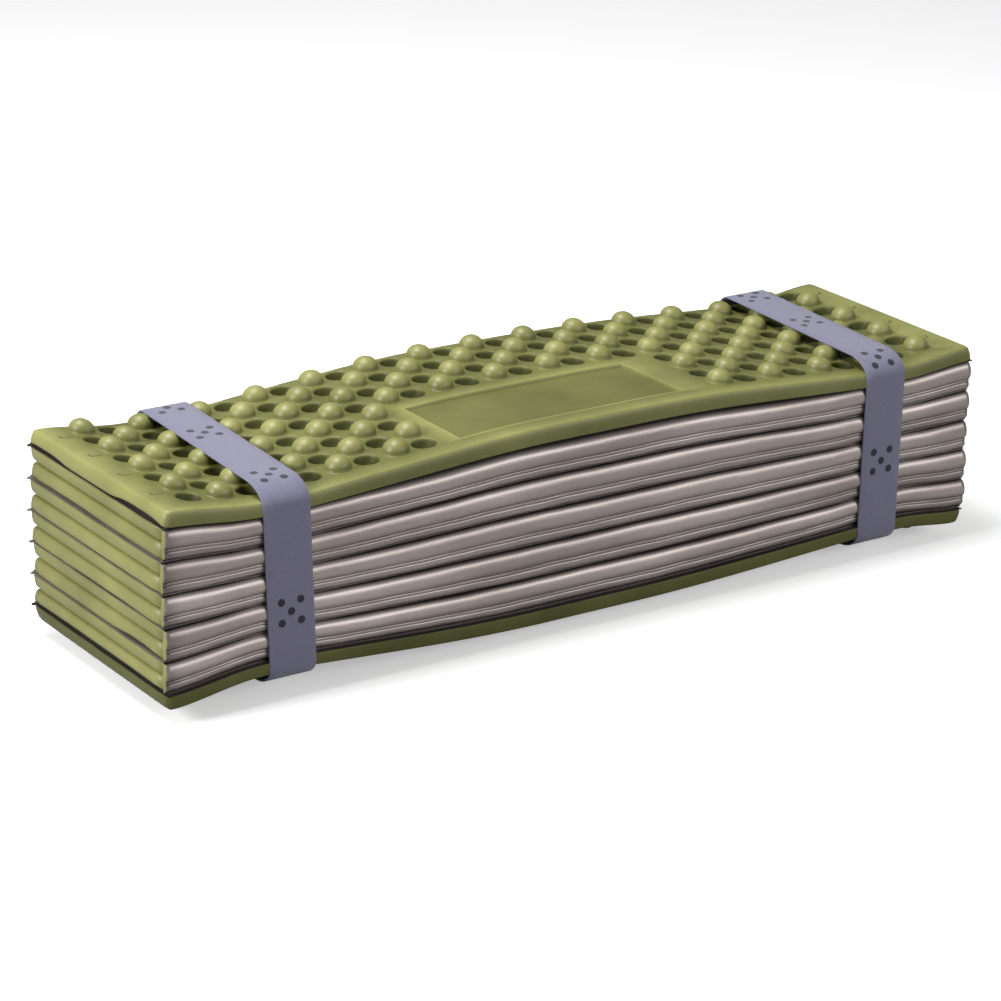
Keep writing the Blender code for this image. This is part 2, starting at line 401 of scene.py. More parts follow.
def link(obj: bpy.types.Object) -> bpy.types.Object:
    """Link an object to the scene."""
    bpy.context.scene.collection.objects.link(obj)
    return obj


def mesh_points(mesh: bpy.types.Mesh) -> np.ndarray:
    """The points of a mesh."""
    flat = np.zeros(len(mesh.vertices) * 3, np.float32)
    mesh.vertices.foreach_get("co", flat)
    return flat.reshape(-1, 3).astype(float)


def add_attribute(obj: bpy.types.Object, name: str, values: np.ndarray) -> None:
    """Store one number for each point of an object."""
    layer = obj.data.attributes.new(name, "FLOAT", "POINT")
    layer.data.foreach_set("value", np.asarray(values, np.float32))


def set_painted_shade(obj: bpy.types.Object, values: np.ndarray) -> None:
    """Store how much painted shade darkens the finish at each point, limited to between 0 and 1."""
    add_attribute(obj, "shade", unit(values))


def perimeter(nx: int, ny: int) -> list[tuple[int, int]]:
    """The outer places of a table of nx by ny cells, once round from the low corner."""
    low = [(i, 0) for i in range(nx)] + [(nx, j) for j in range(ny)]
    return low + [(i, ny) for i in range(nx, 0, -1)] + [(0, j) for j in range(ny, 0, -1)]


def border_shares(nx: int, ny: int) -> np.ndarray:
    """Shares along X and along Y of the places that perimeter() gives."""
    return np.array(perimeter(nx, ny)).T / np.array([[nx], [ny]])


def distances(path: np.ndarray) -> np.ndarray:
    """Distance along a path to each of its points."""
    return np.concatenate(([0.0], np.cumsum(np.linalg.norm(np.diff(path, axis=0), axis=1))))


def nearest(path: np.ndarray, place: Sequence[float]) -> int:
    """Index of the path's point nearest to a place."""
    return int(np.argmin(np.linalg.norm(path - np.array(place), axis=1)))


@dataclass(frozen=True)
class Outline:
    """A level rectangle with rounded corners."""

    x_low: float
    x_high: float
    y_low: float
    y_high: float
    z: float
    corner: float = 0.0

    def at(self, u: np.ndarray, v: np.ndarray) -> np.ndarray:
        """Points at shares u and v of the rectangle, its border drawn in round the corners."""
        cx, cy = (self.x_low + self.x_high) / 2, (self.y_low + self.y_high) / 2
        hx, hy = (self.x_high - self.x_low) / 2, (self.y_high - self.y_low) / 2
        dx, dy = (2 * u - 1) * hx, (2 * v - 1) * hy
        if self.corner > 0:
            over_x, over_y = np.abs(dx) - (hx - self.corner), np.abs(dy) - (hy - self.corner)
            inside = (over_x > 0) & (over_y > 0)
            far = np.hypot(over_x, over_y)
            reach = np.maximum(over_x, over_y)
            scale = np.where(inside & (far > 0), reach / np.maximum(far, 1e-9), 1.0)
            dx = np.where(inside, np.sign(dx) * (hx - self.corner + over_x * scale), dx)
            dy = np.where(inside, np.sign(dy) * (hy - self.corner + over_y * scale), dy)
        return np.column_stack((cx + dx, cy + dy, np.full_like(dx, self.z)))


# Geometry Nodes


class InstanceTree:
    """A node tree that sets pieces on points by their `kind` and joins them into one mesh."""

    PIECES = ("Bump", "Pit", "Block")

    def __init__(self, name: str) -> None:
        self.tree = bpy.data.node_groups.new(name, "GeometryNodeTree")
        face = self.tree.interface
        face.new_socket("Geometry", in_out="INPUT", socket_type="NodeSocketGeometry")
        for piece in self.PIECES:
            face.new_socket(piece, in_out="INPUT", socket_type="NodeSocketObject")
        face.new_socket("Merge Distance", in_out="INPUT", socket_type="NodeSocketFloat")
        face.new_socket("Finish", in_out="INPUT", socket_type="NodeSocketMaterial")
        face.new_socket("Geometry", in_out="OUTPUT", socket_type="NodeSocketGeometry")
        self._wire()

    def _wire(self) -> None:
        """Lay out the tree's nodes."""
        nodes, links = self.tree.nodes, self.tree.links
        given = nodes.new("NodeGroupInput")
        result = nodes.new("NodeGroupOutput")
        kind = nodes.new("GeometryNodeInputNamedAttribute")
        kind.data_type = "INT"
        kind.inputs["Name"].default_value = "kind"
        join = nodes.new("GeometryNodeJoinGeometry")
        for order, piece in enumerate(self.PIECES):
            info = nodes.new("GeometryNodeObjectInfo")
            info.inputs["As Instance"].default_value = True
            links.new(given.outputs[piece], info.inputs["Object"])
            same = nodes.new("FunctionNodeCompare")
            same.data_type = "INT"
            same.operation = "EQUAL"
            whole = [socket for socket in same.inputs if socket.type == "INT"]
            links.new(kind.outputs["Attribute"], whole[0])
            whole[1].default_value = order
            put = nodes.new("GeometryNodeInstanceOnPoints")
            links.new(given.outputs["Geometry"], put.inputs["Points"])
            links.new(same.outputs["Result"], put.inputs["Selection"])
            links.new(info.outputs["Geometry"], put.inputs["Instance"])
            links.new(put.outputs["Instances"], join.inputs["Geometry"])
        real = nodes.new("GeometryNodeRealizeInstances")
        merge = nodes.new("GeometryNodeMergeByDistance")
        finish = nodes.new("GeometryNodeSetMaterial")
        links.new(join.outputs["Geometry"], real.inputs["Geometry"])
        links.new(real.outputs["Geometry"], merge.inputs["Geometry"])
        links.new(given.outputs["Merge Distance"], merge.inputs["Distance"])
        links.new(merge.outputs["Geometry"], finish.inputs["Geometry"])
        links.new(given.outputs["Finish"], finish.inputs["Material"])
        links.new(finish.outputs["Geometry"], result.inputs["Geometry"])

    def run(
        self,
        name: str,
        places: Sequence[tuple[float, float, float]],
        kinds: Sequence[int],
        pieces: dict[str, bpy.types.Object],
        merge: float,
        finish: bpy.types.Material,
    ) -> bpy.types.Mesh:
        """Set the pieces on the places and return the joined mesh."""
        mesh = bpy.data.meshes.new(name + "_points")
        mesh.from_pydata([tuple(place) for place in places], [], [])
        layer = mesh.attributes.new("kind", "INT", "POINT")
        layer.data.foreach_set("value", np.asarray(kinds, np.int32))
        holder = link(bpy.data.objects.new(name + "_points", mesh))
        modifier = holder.modifiers.new("pieces", "NODES")
        modifier.node_group = self.tree
        values = {**pieces, "Merge Distance": merge, "Finish": finish}
        for item in self.tree.interface.items_tree:
            if item.in_out == "INPUT" and item.name in values:
                modifier[item.identifier] = values[item.name]
        graph = bpy.context.evaluated_depsgraph_get()
        made = bpy.data.meshes.new_from_object(holder.evaluated_get(graph))
        bpy.data.objects.remove(holder)
        made.name = name
        return made


# Finishes


class Finish:
    """A procedural material made of shader nodes."""

    def __init__(self, name: str) -> None:
        self.material = bpy.data.materials.new(name)
        self.material.use_nodes = True
        self.nodes = self.material.node_tree.nodes
        self.shader = self.nodes["Principled BSDF"]

    def add(self, kind: str, **settings: object) -> bpy.types.Node:
        """Add a node and set its properties."""
        node = self.nodes.new(kind)
        for key, value in settings.items():
            setattr(node, key, value)
        return node

    def wire(self, source: bpy.types.NodeSocket, target: bpy.types.NodeSocket) -> None:
        """Link two sockets."""
        self.material.node_tree.links.new(source, target)

    def math(self, operation: str, first: object, second: object = None) -> bpy.types.NodeSocket:
        """A math node fed by sockets or numbers."""
        node = self.add("ShaderNodeMath", operation=operation)
        for socket, value in zip(node.inputs, (first, second)):
            if isinstance(value, bpy.types.NodeSocket):
                self.wire(value, socket)
            elif value is not None:
                socket.default_value = value
        return node.outputs[0]

    def noise(self, vector: bpy.types.NodeSocket, scale: float, detail: float = 3.0) -> bpy.types.NodeSocket:
        """A noise texture's factor."""
        node = self.add("ShaderNodeTexNoise")
        node.inputs["Scale"].default_value = scale
        node.inputs["Detail"].default_value = detail
        self.wire(vector, node.inputs["Vector"])
        return node.outputs["Fac"]

    def stretched(self, vector: bpy.types.NodeSocket, scale: Sequence[float]) -> bpy.types.NodeSocket:
        """The vector multiplied by a scale for each axis."""
        node = self.add("ShaderNodeMapping")
        node.inputs["Scale"].default_value = scale
        self.wire(vector, node.inputs["Vector"])
        return node.outputs["Vector"]

    def ramp(
        self, factor: bpy.types.NodeSocket, stops: Sequence[tuple[float, Sequence[float]]]
    ) -> bpy.types.NodeSocket:
        """A colour ramp."""
        node = self.add("ShaderNodeValToRGB")
        self.wire(factor, node.inputs["Fac"])
        band = node.color_ramp
        while len(band.elements) < len(stops):
            band.elements.new(0.5)
        for element, (place, colour) in zip(band.elements, stops):
            element.position = place
            element.color = (*colour, 1.0)
        return node.outputs["Color"]

    def mix(self, factor: bpy.types.NodeSocket, first: object, second: object) -> bpy.types.NodeSocket:
        """Mix two colours."""
        node = self.add("ShaderNodeMix", data_type="RGBA")
        colours = [socket for socket in node.inputs if socket.type == "RGBA"]
        self.wire(factor, node.inputs[0])
        for socket, value in zip(colours, (first, second)):
            if isinstance(value, bpy.types.NodeSocket):
                self.wire(value, socket)
            else:
                socket.default_value = (*value, 1.0)
        return [socket for socket in node.outputs if socket.type == "RGBA"][0]

    def bump(self, height: bpy.types.NodeSocket, strength: float, distance: float) -> None:
        """Feed a height to the shader's normal."""
        node = self.add("ShaderNodeBump")
        node.inputs["Strength"].default_value = strength
        node.inputs["Distance"].default_value = distance
        self.wire(height, node.inputs["Height"])
        self.wire(node.outputs["Normal"], self.shader.inputs["Normal"])

    def coordinates(self, output: str = "Object") -> bpy.types.NodeSocket:
        """A texture coordinate."""
        return self.add("ShaderNodeTexCoord").outputs[output]

    def attribute(self, name: str) -> bpy.types.NodeSocket:
        """A number stored on the mesh's points."""
        return self.add("ShaderNodeAttribute", attribute_name=name).outputs["Fac"]

    def set(self, **values: object) -> None:
        """Set the shader's sockets by name, with underscores for spaces."""
        for key, value in values.items():
            self.shader.inputs[key.replace("_", " ")].default_value = value


class FoamFinish(Finish):
    """Satin moulded foam with painted shade: darker in its pits and on the field between its bumps, so the
    bumps read lighter.
    """

    LIGHT = (0.285, 0.285, 0.088)
    MIDDLE = (0.180, 0.184, 0.052)
    # DARK is the painted shade colour that the painted shade attribute mixes in; LIGHT and MIDDLE vary at
    # random.
    DARK = (0.020, 0.026, 0.004)

    def __init__(self, name: str) -> None:
        super().__init__(name)
        place = self.coordinates()
        clouds = self.noise(place, 22.0, 4.0)
        base = self.ramp(clouds, [(0.30, self.MIDDLE), (0.72, self.LIGHT)])
        shade = self.attribute("shade")
        # Painted shade: mix towards DARK in the pits and on the field between bumps.
        colour = self.mix(shade, base, self.DARK)
        self.wire(colour, self.shader.inputs["Base Color"])
        grain = self.math("ADD", self.math("MULTIPLY", self.noise(place, 900.0, 2.0), 0.5),
                          self.noise(place, 130.0, 3.0))
        self.bump(grain, 0.22, 0.0006)
        rough = self.math("ADD", self.math("MULTIPLY", clouds, 0.14), 0.38)
        self.wire(rough, self.shader.inputs["Roughness"])
        shine = self.math("MULTIPLY", self.math("SUBTRACT", 1.0, shade), 0.62)
        self.wire(shine, self.shader.inputs["Specular IOR Level"])


class CutFoamFinish(FoamFinish):
    """The top panel's foam, with short cuts in its skin beside the relief, drawn only as the painted shade of
    their grooves.
    """

    # Painted shade colour of the cut grooves.
    CUT = (0.030, 0.040, 0.008)

    def __init__(self, name: str, sizes: MatSizes, cuts: MarkSizes) -> None:
        super().__init__(name)
        split = self.add("ShaderNodeSeparateXYZ")
        self.wire(self.coordinates(), split.inputs[0])
        x, y = split.outputs["X"], split.outputs["Y"]
        out = self.math("SUBTRACT", self.math("ABSOLUTE", x), cuts.end_from_middle)
        phase = self.math("FLOORED_MODULO", self.math("SUBTRACT", y, cuts.end_first), cuts.end_spacing)
        dash = self.both(self.within(phase, 0.0010, cuts.width), self.within(out, 0.0, cuts.end_length / 2))
        start = self.within(phase, 0.0028, 0.0018)
        hook = self.both(start, self.within(out, cuts.end_length / 2, cuts.width))
        along = self.math("PINGPONG", x, cuts.back_spacing / 2)
        behind = self.within(y, sizes.half_depth - cuts.back_from_edge, cuts.width)
        long = self.both(behind, self.within(along, 0.0, cuts.back_length / 2))
        inside = self.math("LESS_THAN", self.math("ABSOLUTE", y), sizes.half_depth - 0.015)
        ends = self.both(self.math("MAXIMUM", dash, hook), inside)
        mask = self.math("MULTIPLY", self.math("MAXIMUM", ends, long), 0.80)
        source = self.shader.inputs["Base Color"].links[0].from_socket
        self.wire(self.mix(mask, source, self.CUT), self.shader.inputs["Base Color"])

    def within(self, value: bpy.types.NodeSocket, middle: float, reach: float) -> bpy.types.NodeSocket:
        """1 where a value is within reach of the middle, else 0."""
        return self.math("LESS_THAN", self.math("ABSOLUTE", self.math("SUBTRACT", value, middle)), reach)

    def both(self, first: bpy.types.NodeSocket, second: bpy.types.NodeSocket) -> bpy.types.NodeSocket:
        """1 where both masks are 1."""
        return self.math("MULTIPLY", first, second)


class FilmFinish(Finish):
    """Satin aluminised film with faint creases along the folds, darkened by painted shade at its seams,
    creases and edges.
    """

    LIGHT = (0.500, 0.438, 0.410)
    DARK = (0.340, 0.290, 0.270)
    # Painted shade colour, mixed in by the painted shade attribute.
    PAINTED_SHADE_COLOUR = (0.004, 0.003, 0.003)

    def __init__(self, name: str) -> None:
        super().__init__(name)
        place = self.coordinates()
        drawn = self.stretched(place, (9.0, 60.0, 60.0))
        streaks = self.noise(drawn, 1.0, 4.0)
        base = self.ramp(streaks, [(0.35, self.DARK), (0.70, self.LIGHT)])
        colour = self.mix(self.attribute("shade"), base, self.PAINTED_SHADE_COLOUR)
        self.wire(colour, self.shader.inputs["Base Color"])
        fine = self.noise(self.stretched(place, (60.0, 500.0, 500.0)), 1.0, 2.0)
        self.bump(self.math("ADD", streaks, self.math("MULTIPLY", fine, 0.15)), 0.35, 0.0012)
        self.set(Metallic=0.60, Roughness=0.40, Specular_IOR_Level=0.5)


class WebbingFinish(Finish):
    """Woven elastic webbing with printed marks of five dark dots."""

    LIGHT = (0.215, 0.208, 0.295)
    DARK = (0.100, 0.097, 0.155)
    DOT = (0.012, 0.011, 0.022)

    def __init__(self, name: str, dot: float, spread: float) -> None:
        super().__init__(name)
        split = self.add("ShaderNodeSeparateXYZ")
        self.wire(self.coordinates("UV"), split.inputs[0])
        along, across = split.outputs["X"], split.outputs["Y"]
        ribs = self.math("SINE", self.math("MULTIPLY", along, 2 * math.pi / 0.00120))
        cords = self.math("SINE", self.math("MULTIPLY", across, 2 * math.pi / 0.00150))
        turns = self.math("MULTIPLY", self.math("ADD", along, across), 2 * math.pi / 0.0021)
        slant = self.math("SINE", turns)
        weave = self.math("ADD", self.math("MULTIPLY", ribs, cords), self.math("MULTIPLY", slant, 0.35))
        level = self.math("ADD", self.math("MULTIPLY", weave, 0.3), 0.5)
        base = self.ramp(level, [(0.05, self.DARK), (0.85, self.LIGHT)])
        away = self.attribute("mark")
        middle, corners = (self.dots(away, across, place, dot) for place in (0.0, spread))
        marks = self.math("MAXIMUM", middle, corners)
        colour = self.mix(marks, base, self.DOT)
        self.wire(colour, self.shader.inputs["Base Color"])
        self.bump(level, 0.55, 0.0005)
        self.set(Roughness=0.72, Specular_IOR_Level=0.3, Sheen_Weight=0.25)

    def dots(
        self, along: bpy.types.NodeSocket, across: bpy.types.NodeSocket, place: float, radius: float
    ) -> bpy.types.NodeSocket:
        """1 inside the dots that stand at plus and minus a place both ways, 0 outside."""
        dx = self.math("SUBTRACT", self.math("ABSOLUTE", along), place)
        dy = self.math("SUBTRACT", self.math("ABSOLUTE", across), place)
        squares = self.math("MULTIPLY", dx, dx), self.math("MULTIPLY", dy, dy)
        away = self.math("SQRT", self.math("ADD", *squares))
        return self.math("LESS_THAN", away, radius)


class ThreadFinish(Finish):
    """Dark sewing thread."""

    def __init__(self, name: str) -> None:
        super().__init__(name)
        twist = self.noise(self.stretched(self.coordinates(), (2000.0, 2000.0, 600.0)), 1.0, 1.0)
        self.wire(self.ramp(twist, [(0.3, (0.020, 0.020, 0.035)), (0.7, (0.060, 0.060, 0.085))]),
                  self.shader.inputs["Base Color"])
        self.set(Roughness=0.7)


class FloorFinish(Finish):
    """A pale floor that throws only a little light back at what stands on it."""

    def __init__(self, name: str) -> None:
        super().__init__(name)
        self.set(Base_Color=(0.80, 0.80, 0.80, 1.0), Roughness=0.9, Specular_IOR_Level=0.0,
                 Emission_Color=(1.0, 1.0, 1.0, 1.0), Emission_Strength=0.42)
        seen = self.add("ShaderNodeLightPath").outputs["Is Camera Ray"]
        dim = self.add("ShaderNodeBsdfDiffuse")
        dim.inputs["Color"].default_value = (0.42, 0.42, 0.42, 1.0)
        either = self.add("ShaderNodeMixShader")
        self.wire(seen, either.inputs[0])
        self.wire(dim.outputs[0], either.inputs[1])
        self.wire(self.shader.outputs[0], either.inputs[2])
        self.wire(either.outputs[0], self.nodes["Material Output"].inputs["Surface"])


@dataclass(frozen=True)
class Palette:
    """The finishes of the mat."""

    foam: bpy.types.Material
    cut_foam: bpy.types.Material
    film: bpy.types.Material
    webbing: bpy.types.Material
    thread: bpy.types.Material


# Foam


class ReliefTile:
    """One cell of the relief: a square border that runs in rings to a round bump or pit."""

    BUMP_PROFILE = ((1.09, 0.0), (1.02, 0.035), (1.0, 0.16), (0.975, 0.32), (0.905, 0.50), (0.775, 0.68),
                    (0.58, 0.84), (0.31, 0.955))
    PIT_PROFILE = ((1.12, 0.0), (1.03, 0.06), (0.99, 0.24), (0.92, 0.50), (0.77, 0.78), (0.52, 0.94),
                   (0.25, 0.99))

    def __init__(self, sizes: ReliefSizes, per_side: int, coarse: bool) -> None:
        self.sizes, self.per_side, self.coarse = sizes, per_side, coarse

    def build(self, name: str, radius: float, height: float) -> bpy.types.Object:
        """Make the cell's mesh about its own centre.

        Args:
            name: the tile's name.
            radius: radius of the bump or pit.
            height: height of the bump, or minus the depth of the pit.

        Returns:
            An unlinked object to be set on points.
        """
        profile = self.BUMP_PROFILE if height > 0 else self.PIT_PROFILE
        if self.coarse:
            profile = profile[1::2]
        n = self.per_side
        u, v = border_shares(n, n) - 0.5
        square = np.column_stack((u * self.sizes.pitch_x, v * self.sizes.pitch_y, np.zeros(len(u))))
        angle = np.arctan2(square[:, 1], square[:, 0])
        plan = MeshPlan()
        rings = [plan.add_points(square)]
        for share, rise in profile:
            ring = np.column_stack((np.cos(angle) * radius * share, np.sin(angle) * radius * share,
                                    np.full(len(u), height * rise)))
            rings.append(plan.add_points(ring))
        plan.add_tube(rings, flip=True)
        tip = int(plan.add_points(np.array([[0.0, 0.0, height]]))[0])
        last = rings[-1].tolist()
        plan.faces += [(a, b, tip) for a, b in zip(last, last[1:] + last[:1])]
        return plan.loose(name)


class RecessBlock:
    """The bare block of the top face with its shallow label recess."""

    # How far each ring stands outside the recess, in metres, and its height in recess depths
    STEPS = ((0.0016, 0.04), (0.0004, 0.06), (0.0, -0.10), (-0.00025, -0.85), (-0.0007, -1.0),
             (-0.0030, -0.92))

    def __init__(self, relief: ReliefSizes, recess: RecessSizes, per_side: int) -> None:
        self.relief, self.recess, self.per_side = relief, recess, per_side
        columns = [c for c in range(relief.columns) if abs(relief.centre(c, 0)[0]) < relief.bare_half_length]
        self.columns = range(columns[0], columns[-1] + 1)
        x0, y0 = relief.centre(self.columns[0], 0)
        x1, y1 = relief.centre(self.columns[-1], relief.bare_rows - 1)
        self.x_low, self.x_high = x0 - relief.pitch_x / 2, x1 + relief.pitch_x / 2
        self.y_low, self.y_high = y0 - relief.pitch_y / 2, y1 + relief.pitch_y / 2

    def holds(self, column: int, row: int) -> bool:
        """Whether a cell lies in the block."""
        return row < self.relief.bare_rows and column in self.columns

    def centre(self) -> tuple[float, float]:
        """The block's centre on the panel."""
        return (self.x_low + self.x_high) / 2, (self.y_low + self.y_high) / 2

    def build(self, name: str) -> bpy.types.Object:
        """Make the block's mesh about its own centre, with the tiles' points on its border."""
        cx, cy = self.centre()
        nx, ny = len(self.columns) * self.per_side, self.relief.bare_rows * self.per_side
        u, v = border_shares(nx, ny)
        recess = self.recess
        outlines = [Outline(self.x_low - cx, self.x_high - cx, self.y_low - cy, self.y_high - cy, 0.0)]
        for grow, rise in self.STEPS:
            outlines.append(Outline(recess.x_low - grow - cx, recess.x_high + grow - cx,
                                    recess.y_low - grow - cy, recess.y_high + grow - cy, recess.depth * rise))
        plan = MeshPlan()
        rings = [plan.add_points(line.at(u, v)) for line in outlines]
        plan.add_tube(rings, flip=True)
        fill_outline(plan, outlines[-1], rings[-1], nx, ny, up=True)
        return plan.loose(name)


def fill_outline(plan: MeshPlan, line: Outline, ring: np.ndarray, nx: int, ny: int, up: bool) -> None:
    """Close a ring with a table of quads.

    Args:
        plan: the mesh that holds the ring.
        line: the ring's outline.
        ring: indices of the ring's points, in the order of perimeter().
        nx: cells along X.
        ny: cells along Y.
        up: whether the faces look up.
    """
    table = np.zeros((nx + 1, ny + 1), int)
    for index, (i, j) in zip(ring, perimeter(nx, ny)):
        table[i, j] = index
    i, j = np.meshgrid(np.arange(1, nx), np.arange(1, ny), indexing="ij")
    table[1:nx, 1:ny] = plan.add_points(line.at(i.ravel() / nx, j.ravel() / ny)).reshape(i.shape)
    plan.add_grid(table, flip=not up)


@dataclass(frozen=True)
class EndGap:
    """A place where a panel's left end has parted from its film: middle and reach in Y."""

    number: int
    middle: float
    reach: float
    height: float


class FoamPanel:
    """One moulded panel: the relief, a soft rim that is widest at the film, and a flat back."""

    RIM = (RimRing(4.4, 0.0), RimRing(3.3, 0.04), RimRing(2.5, 0.22), RimRing(1.8, 0.70), RimRing(1.25, 1.60),
           RimRing(0.7, 3.40), RimRing(0.2, 5.40), RimRing(0.0, 7.20), RimRing(0.05, 8.30),
           RimRing(0.4, 8.75), RimRing(3.0, 8.30))
    COARSE_RIM = (RimRing(4.4, 0.0), RimRing(2.6, 0.14), RimRing(1.5, 0.62), RimRing(0.7, 1.90),
                  RimRing(0.15, 4.80), RimRing(0.0, 7.60), RimRing(0.3, 8.75), RimRing(3.0, 8.30))
    DEPTH_SHARE = 0.75  # how much of an inset is taken at the front and back
    CORNER = 0.0026
    HALF_GAP = 0.00015
    # Strengths of painted shade: in the pits, on the field between bumps, over the whole lowest panel and
    # along the top panel's front rim.
    PIT_SHADE, FIELD_SHADE, LOWEST_SHADE, FRONT_SHADE = 0.92, 0.40, 0.62, 0.40
    GAPS = (EndGap(1, -0.048, 0.024, 0.0026), EndGap(1, 0.058, 0.020, 0.0018),
            EndGap(11, 0.0, 0.090, 0.0022), EndGap(9, -0.046, 0.020, 0.0018),
            EndGap(3, 0.030, 0.030, 0.0007), EndGap(7, -0.010, 0.040, 0.0006))

    def __init__(self, bundle: Bundle, relief: ReliefSizes, tree: InstanceTree, palette: Palette) -> None:
        self.bundle, self.relief, self.tree, self.palette = bundle, relief, tree, palette

    def relief_mesh(
        self, number: int, tiles: dict[str, bpy.types.Object], block: RecessBlock | None
    ) -> bpy.types.Mesh:
        """The panel's relief as one sheet, looking up."""
        places, kinds = [], []
        for row in range(self.relief.rows):
            for column in range(self.relief.columns):
                if block and block.holds(column, row):
                    continue
                odd = (row + column) % 2 == 1
                bumps_odd = self.bundle.sizes.is_outer(number) or number % 2 == 0
                places.append((*self.relief.centre(column, row), 0.0))
                kinds.append(Cell.BUMP if odd == bumps_odd else Cell.PIT)
        if block:
            places.append((*block.centre(), 0.0))
            kinds.append(Cell.BLOCK)
        return self.tree.run(f"relief_{number:02d}", places, kinds, tiles, 2e-5, self.finish(number))

    def finish(self, number: int) -> bpy.types.Material:
        """The panel's finish."""
        return self.palette.cut_foam if number == 1 else self.palette.foam

    def build(
        self, number: int, per_side: int, tiles: dict[str, bpy.types.Object], block: RecessBlock | None
    ) -> bpy.types.Object:
        """Make one panel in its place in the bundle.

        Args:
            number: the panel's number from the top.
            per_side: points on a cell's side.
            tiles: the relief's pieces by name.
            block: the bare block, on the top panel.

        Returns:
            The finished panel.
        """
        sizes, relief = self.bundle.sizes, self.relief
        low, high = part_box(f"foam_{number:02d}")
        mesh = self.relief_mesh(number, tiles, block)
        plan = MeshPlan()
        plan.add_points(mesh_points(mesh))
        plan.faces += [tuple(face.vertices) for face in mesh.polygons]
        finder = kdtree.KDTree(plan.count)
        for index, point in enumerate(plan.points[0]):
            finder.insert(point, index)
        finder.balance()
        nx, ny = relief.columns * per_side, relief.rows * per_side
        u, v = border_shares(nx, ny)
        half_x, half_y = relief.columns * relief.pitch_x / 2, relief.rows * relief.pitch_y / 2
        field = Outline(-half_x, half_x, relief.centre_y - half_y, relief.centre_y + half_y, 0.0)
        rings = [np.array([finder.find(point)[1] for point in field.at(u, v)])]
        line = field
        for ring in (self.RIM if sizes.is_outer(number) else self.COARSE_RIM):
            inset = ring.inset * MILLIMETRE
            line = Outline(low.x + inset, high.x - inset, low.y + inset * self.DEPTH_SHARE,
                           high.y - inset * self.DEPTH_SHARE, -ring.drop * MILLIMETRE,
                           self.CORNER - inset * 0.2)
            rings.append(plan.add_points(line.at(u, v)))
        plan.add_tube(rings)
        fill_outline(plan, line, rings[-1], nx, ny, up=False)
        points = plan.all_points()
        relief_height = points[:, 2].copy()
        points[:, 2] += self.open_end(points, number)
        up = 1 if number % 2 else -1
        points[:, 2] = sizes.green_plane(number) - up * self.HALF_GAP + up * points[:, 2]
        if up < 0:
            plan.faces = [face[::-1] for face in plan.faces]
        points = shift_ends(points, number, sizes)
        obj = plan.build(f"foam_panel_{number:02d}", self.finish(number), self.bundle.apply(points))
        set_painted_shade(obj, self.shade(number, points, relief_height, half_x, block))
        bpy.data.meshes.remove(mesh)
        log.info("foam panel %d: %d faces", number, len(obj.data.polygons))
        return obj

    def shade(
        self, number: int, points: np.ndarray, height: np.ndarray, half_x: float, block: RecessBlock | None
    ) -> np.ndarray:
        """How much painted shade darkens the panel: most in its pits, less on the field between bumps, none
        on the bare block.

        Args:
            number: the panel's number from the top.
            points: its points in the flat stack.
            height: how far each point stands above the green face.
            half_x: half the length of the relief.
            block: the bare block, on the top panel.

        Returns:
            The painted shade of each point.
        """
        sizes = self.bundle.sizes
        x, y = points[:, 0], points[:, 1]
        flat = np.abs(y) < sizes.half_depth - 0.004
        pits = unit(-height / self.relief.pit_depth) * (height > -0.0071) * flat
        in_field = (np.abs(x) < half_x) & flat & (np.abs(height) < 0.0071)
        field = self.FIELD_SHADE * (1.0 - unit(np.abs(height) / 0.0055)) * in_field
        if block:
            field = field * ~((x > block.x_low) & (x < block.x_high) & (y > block.y_low) & (y < block.y_high))
        shade = self.PIT_SHADE * np.sqrt(pits) * (np.abs(x) < half_x) + field
        # Painted shade: the lowest panel darker all over, the top panel darker along its front rim.
        if number == sizes.count:
            shade += self.LOWEST_SHADE
        if number == 1:
            shade += self.FRONT_SHADE * unit((-y - sizes.half_depth + 0.0024) / 0.0020)
        return shade

    def open_end(self, points: np.ndarray, number: int) -> np.ndarray:
        """How far the foam's left end stands off its film, where the two have parted."""
        sizes = self.bundle.sizes
        lift = np.zeros(len(points))
        for gap in self.GAPS:
            if gap.number == number:
                lift += gap.height * np.exp(-(((points[:, 1] - gap.middle) / gap.reach) ** 4))
        out = ease((-points[:, 0] - sizes.half_length + 0.014) / 0.012)
        down = unit((-points[:, 2] - 0.0025) / 0.0055)
        return lift * out * down


def shift_ends(points: np.ndarray, number: int, sizes: MatSizes) -> np.ndarray:
    """Move the ends of a panel or its film along X by the panel's own small amount."""
    left, right = np.random.default_rng(100 + number // 2).uniform(-0.0007, 0.0007, 2)
    x = points[:, 0]
    share = ease((np.abs(x) - 0.8 * sizes.half_length) / (0.2 * sizes.half_length))
    moved = points.copy()
    moved[:, 0] += np.where(x < 0, left, right) * share
    return moved


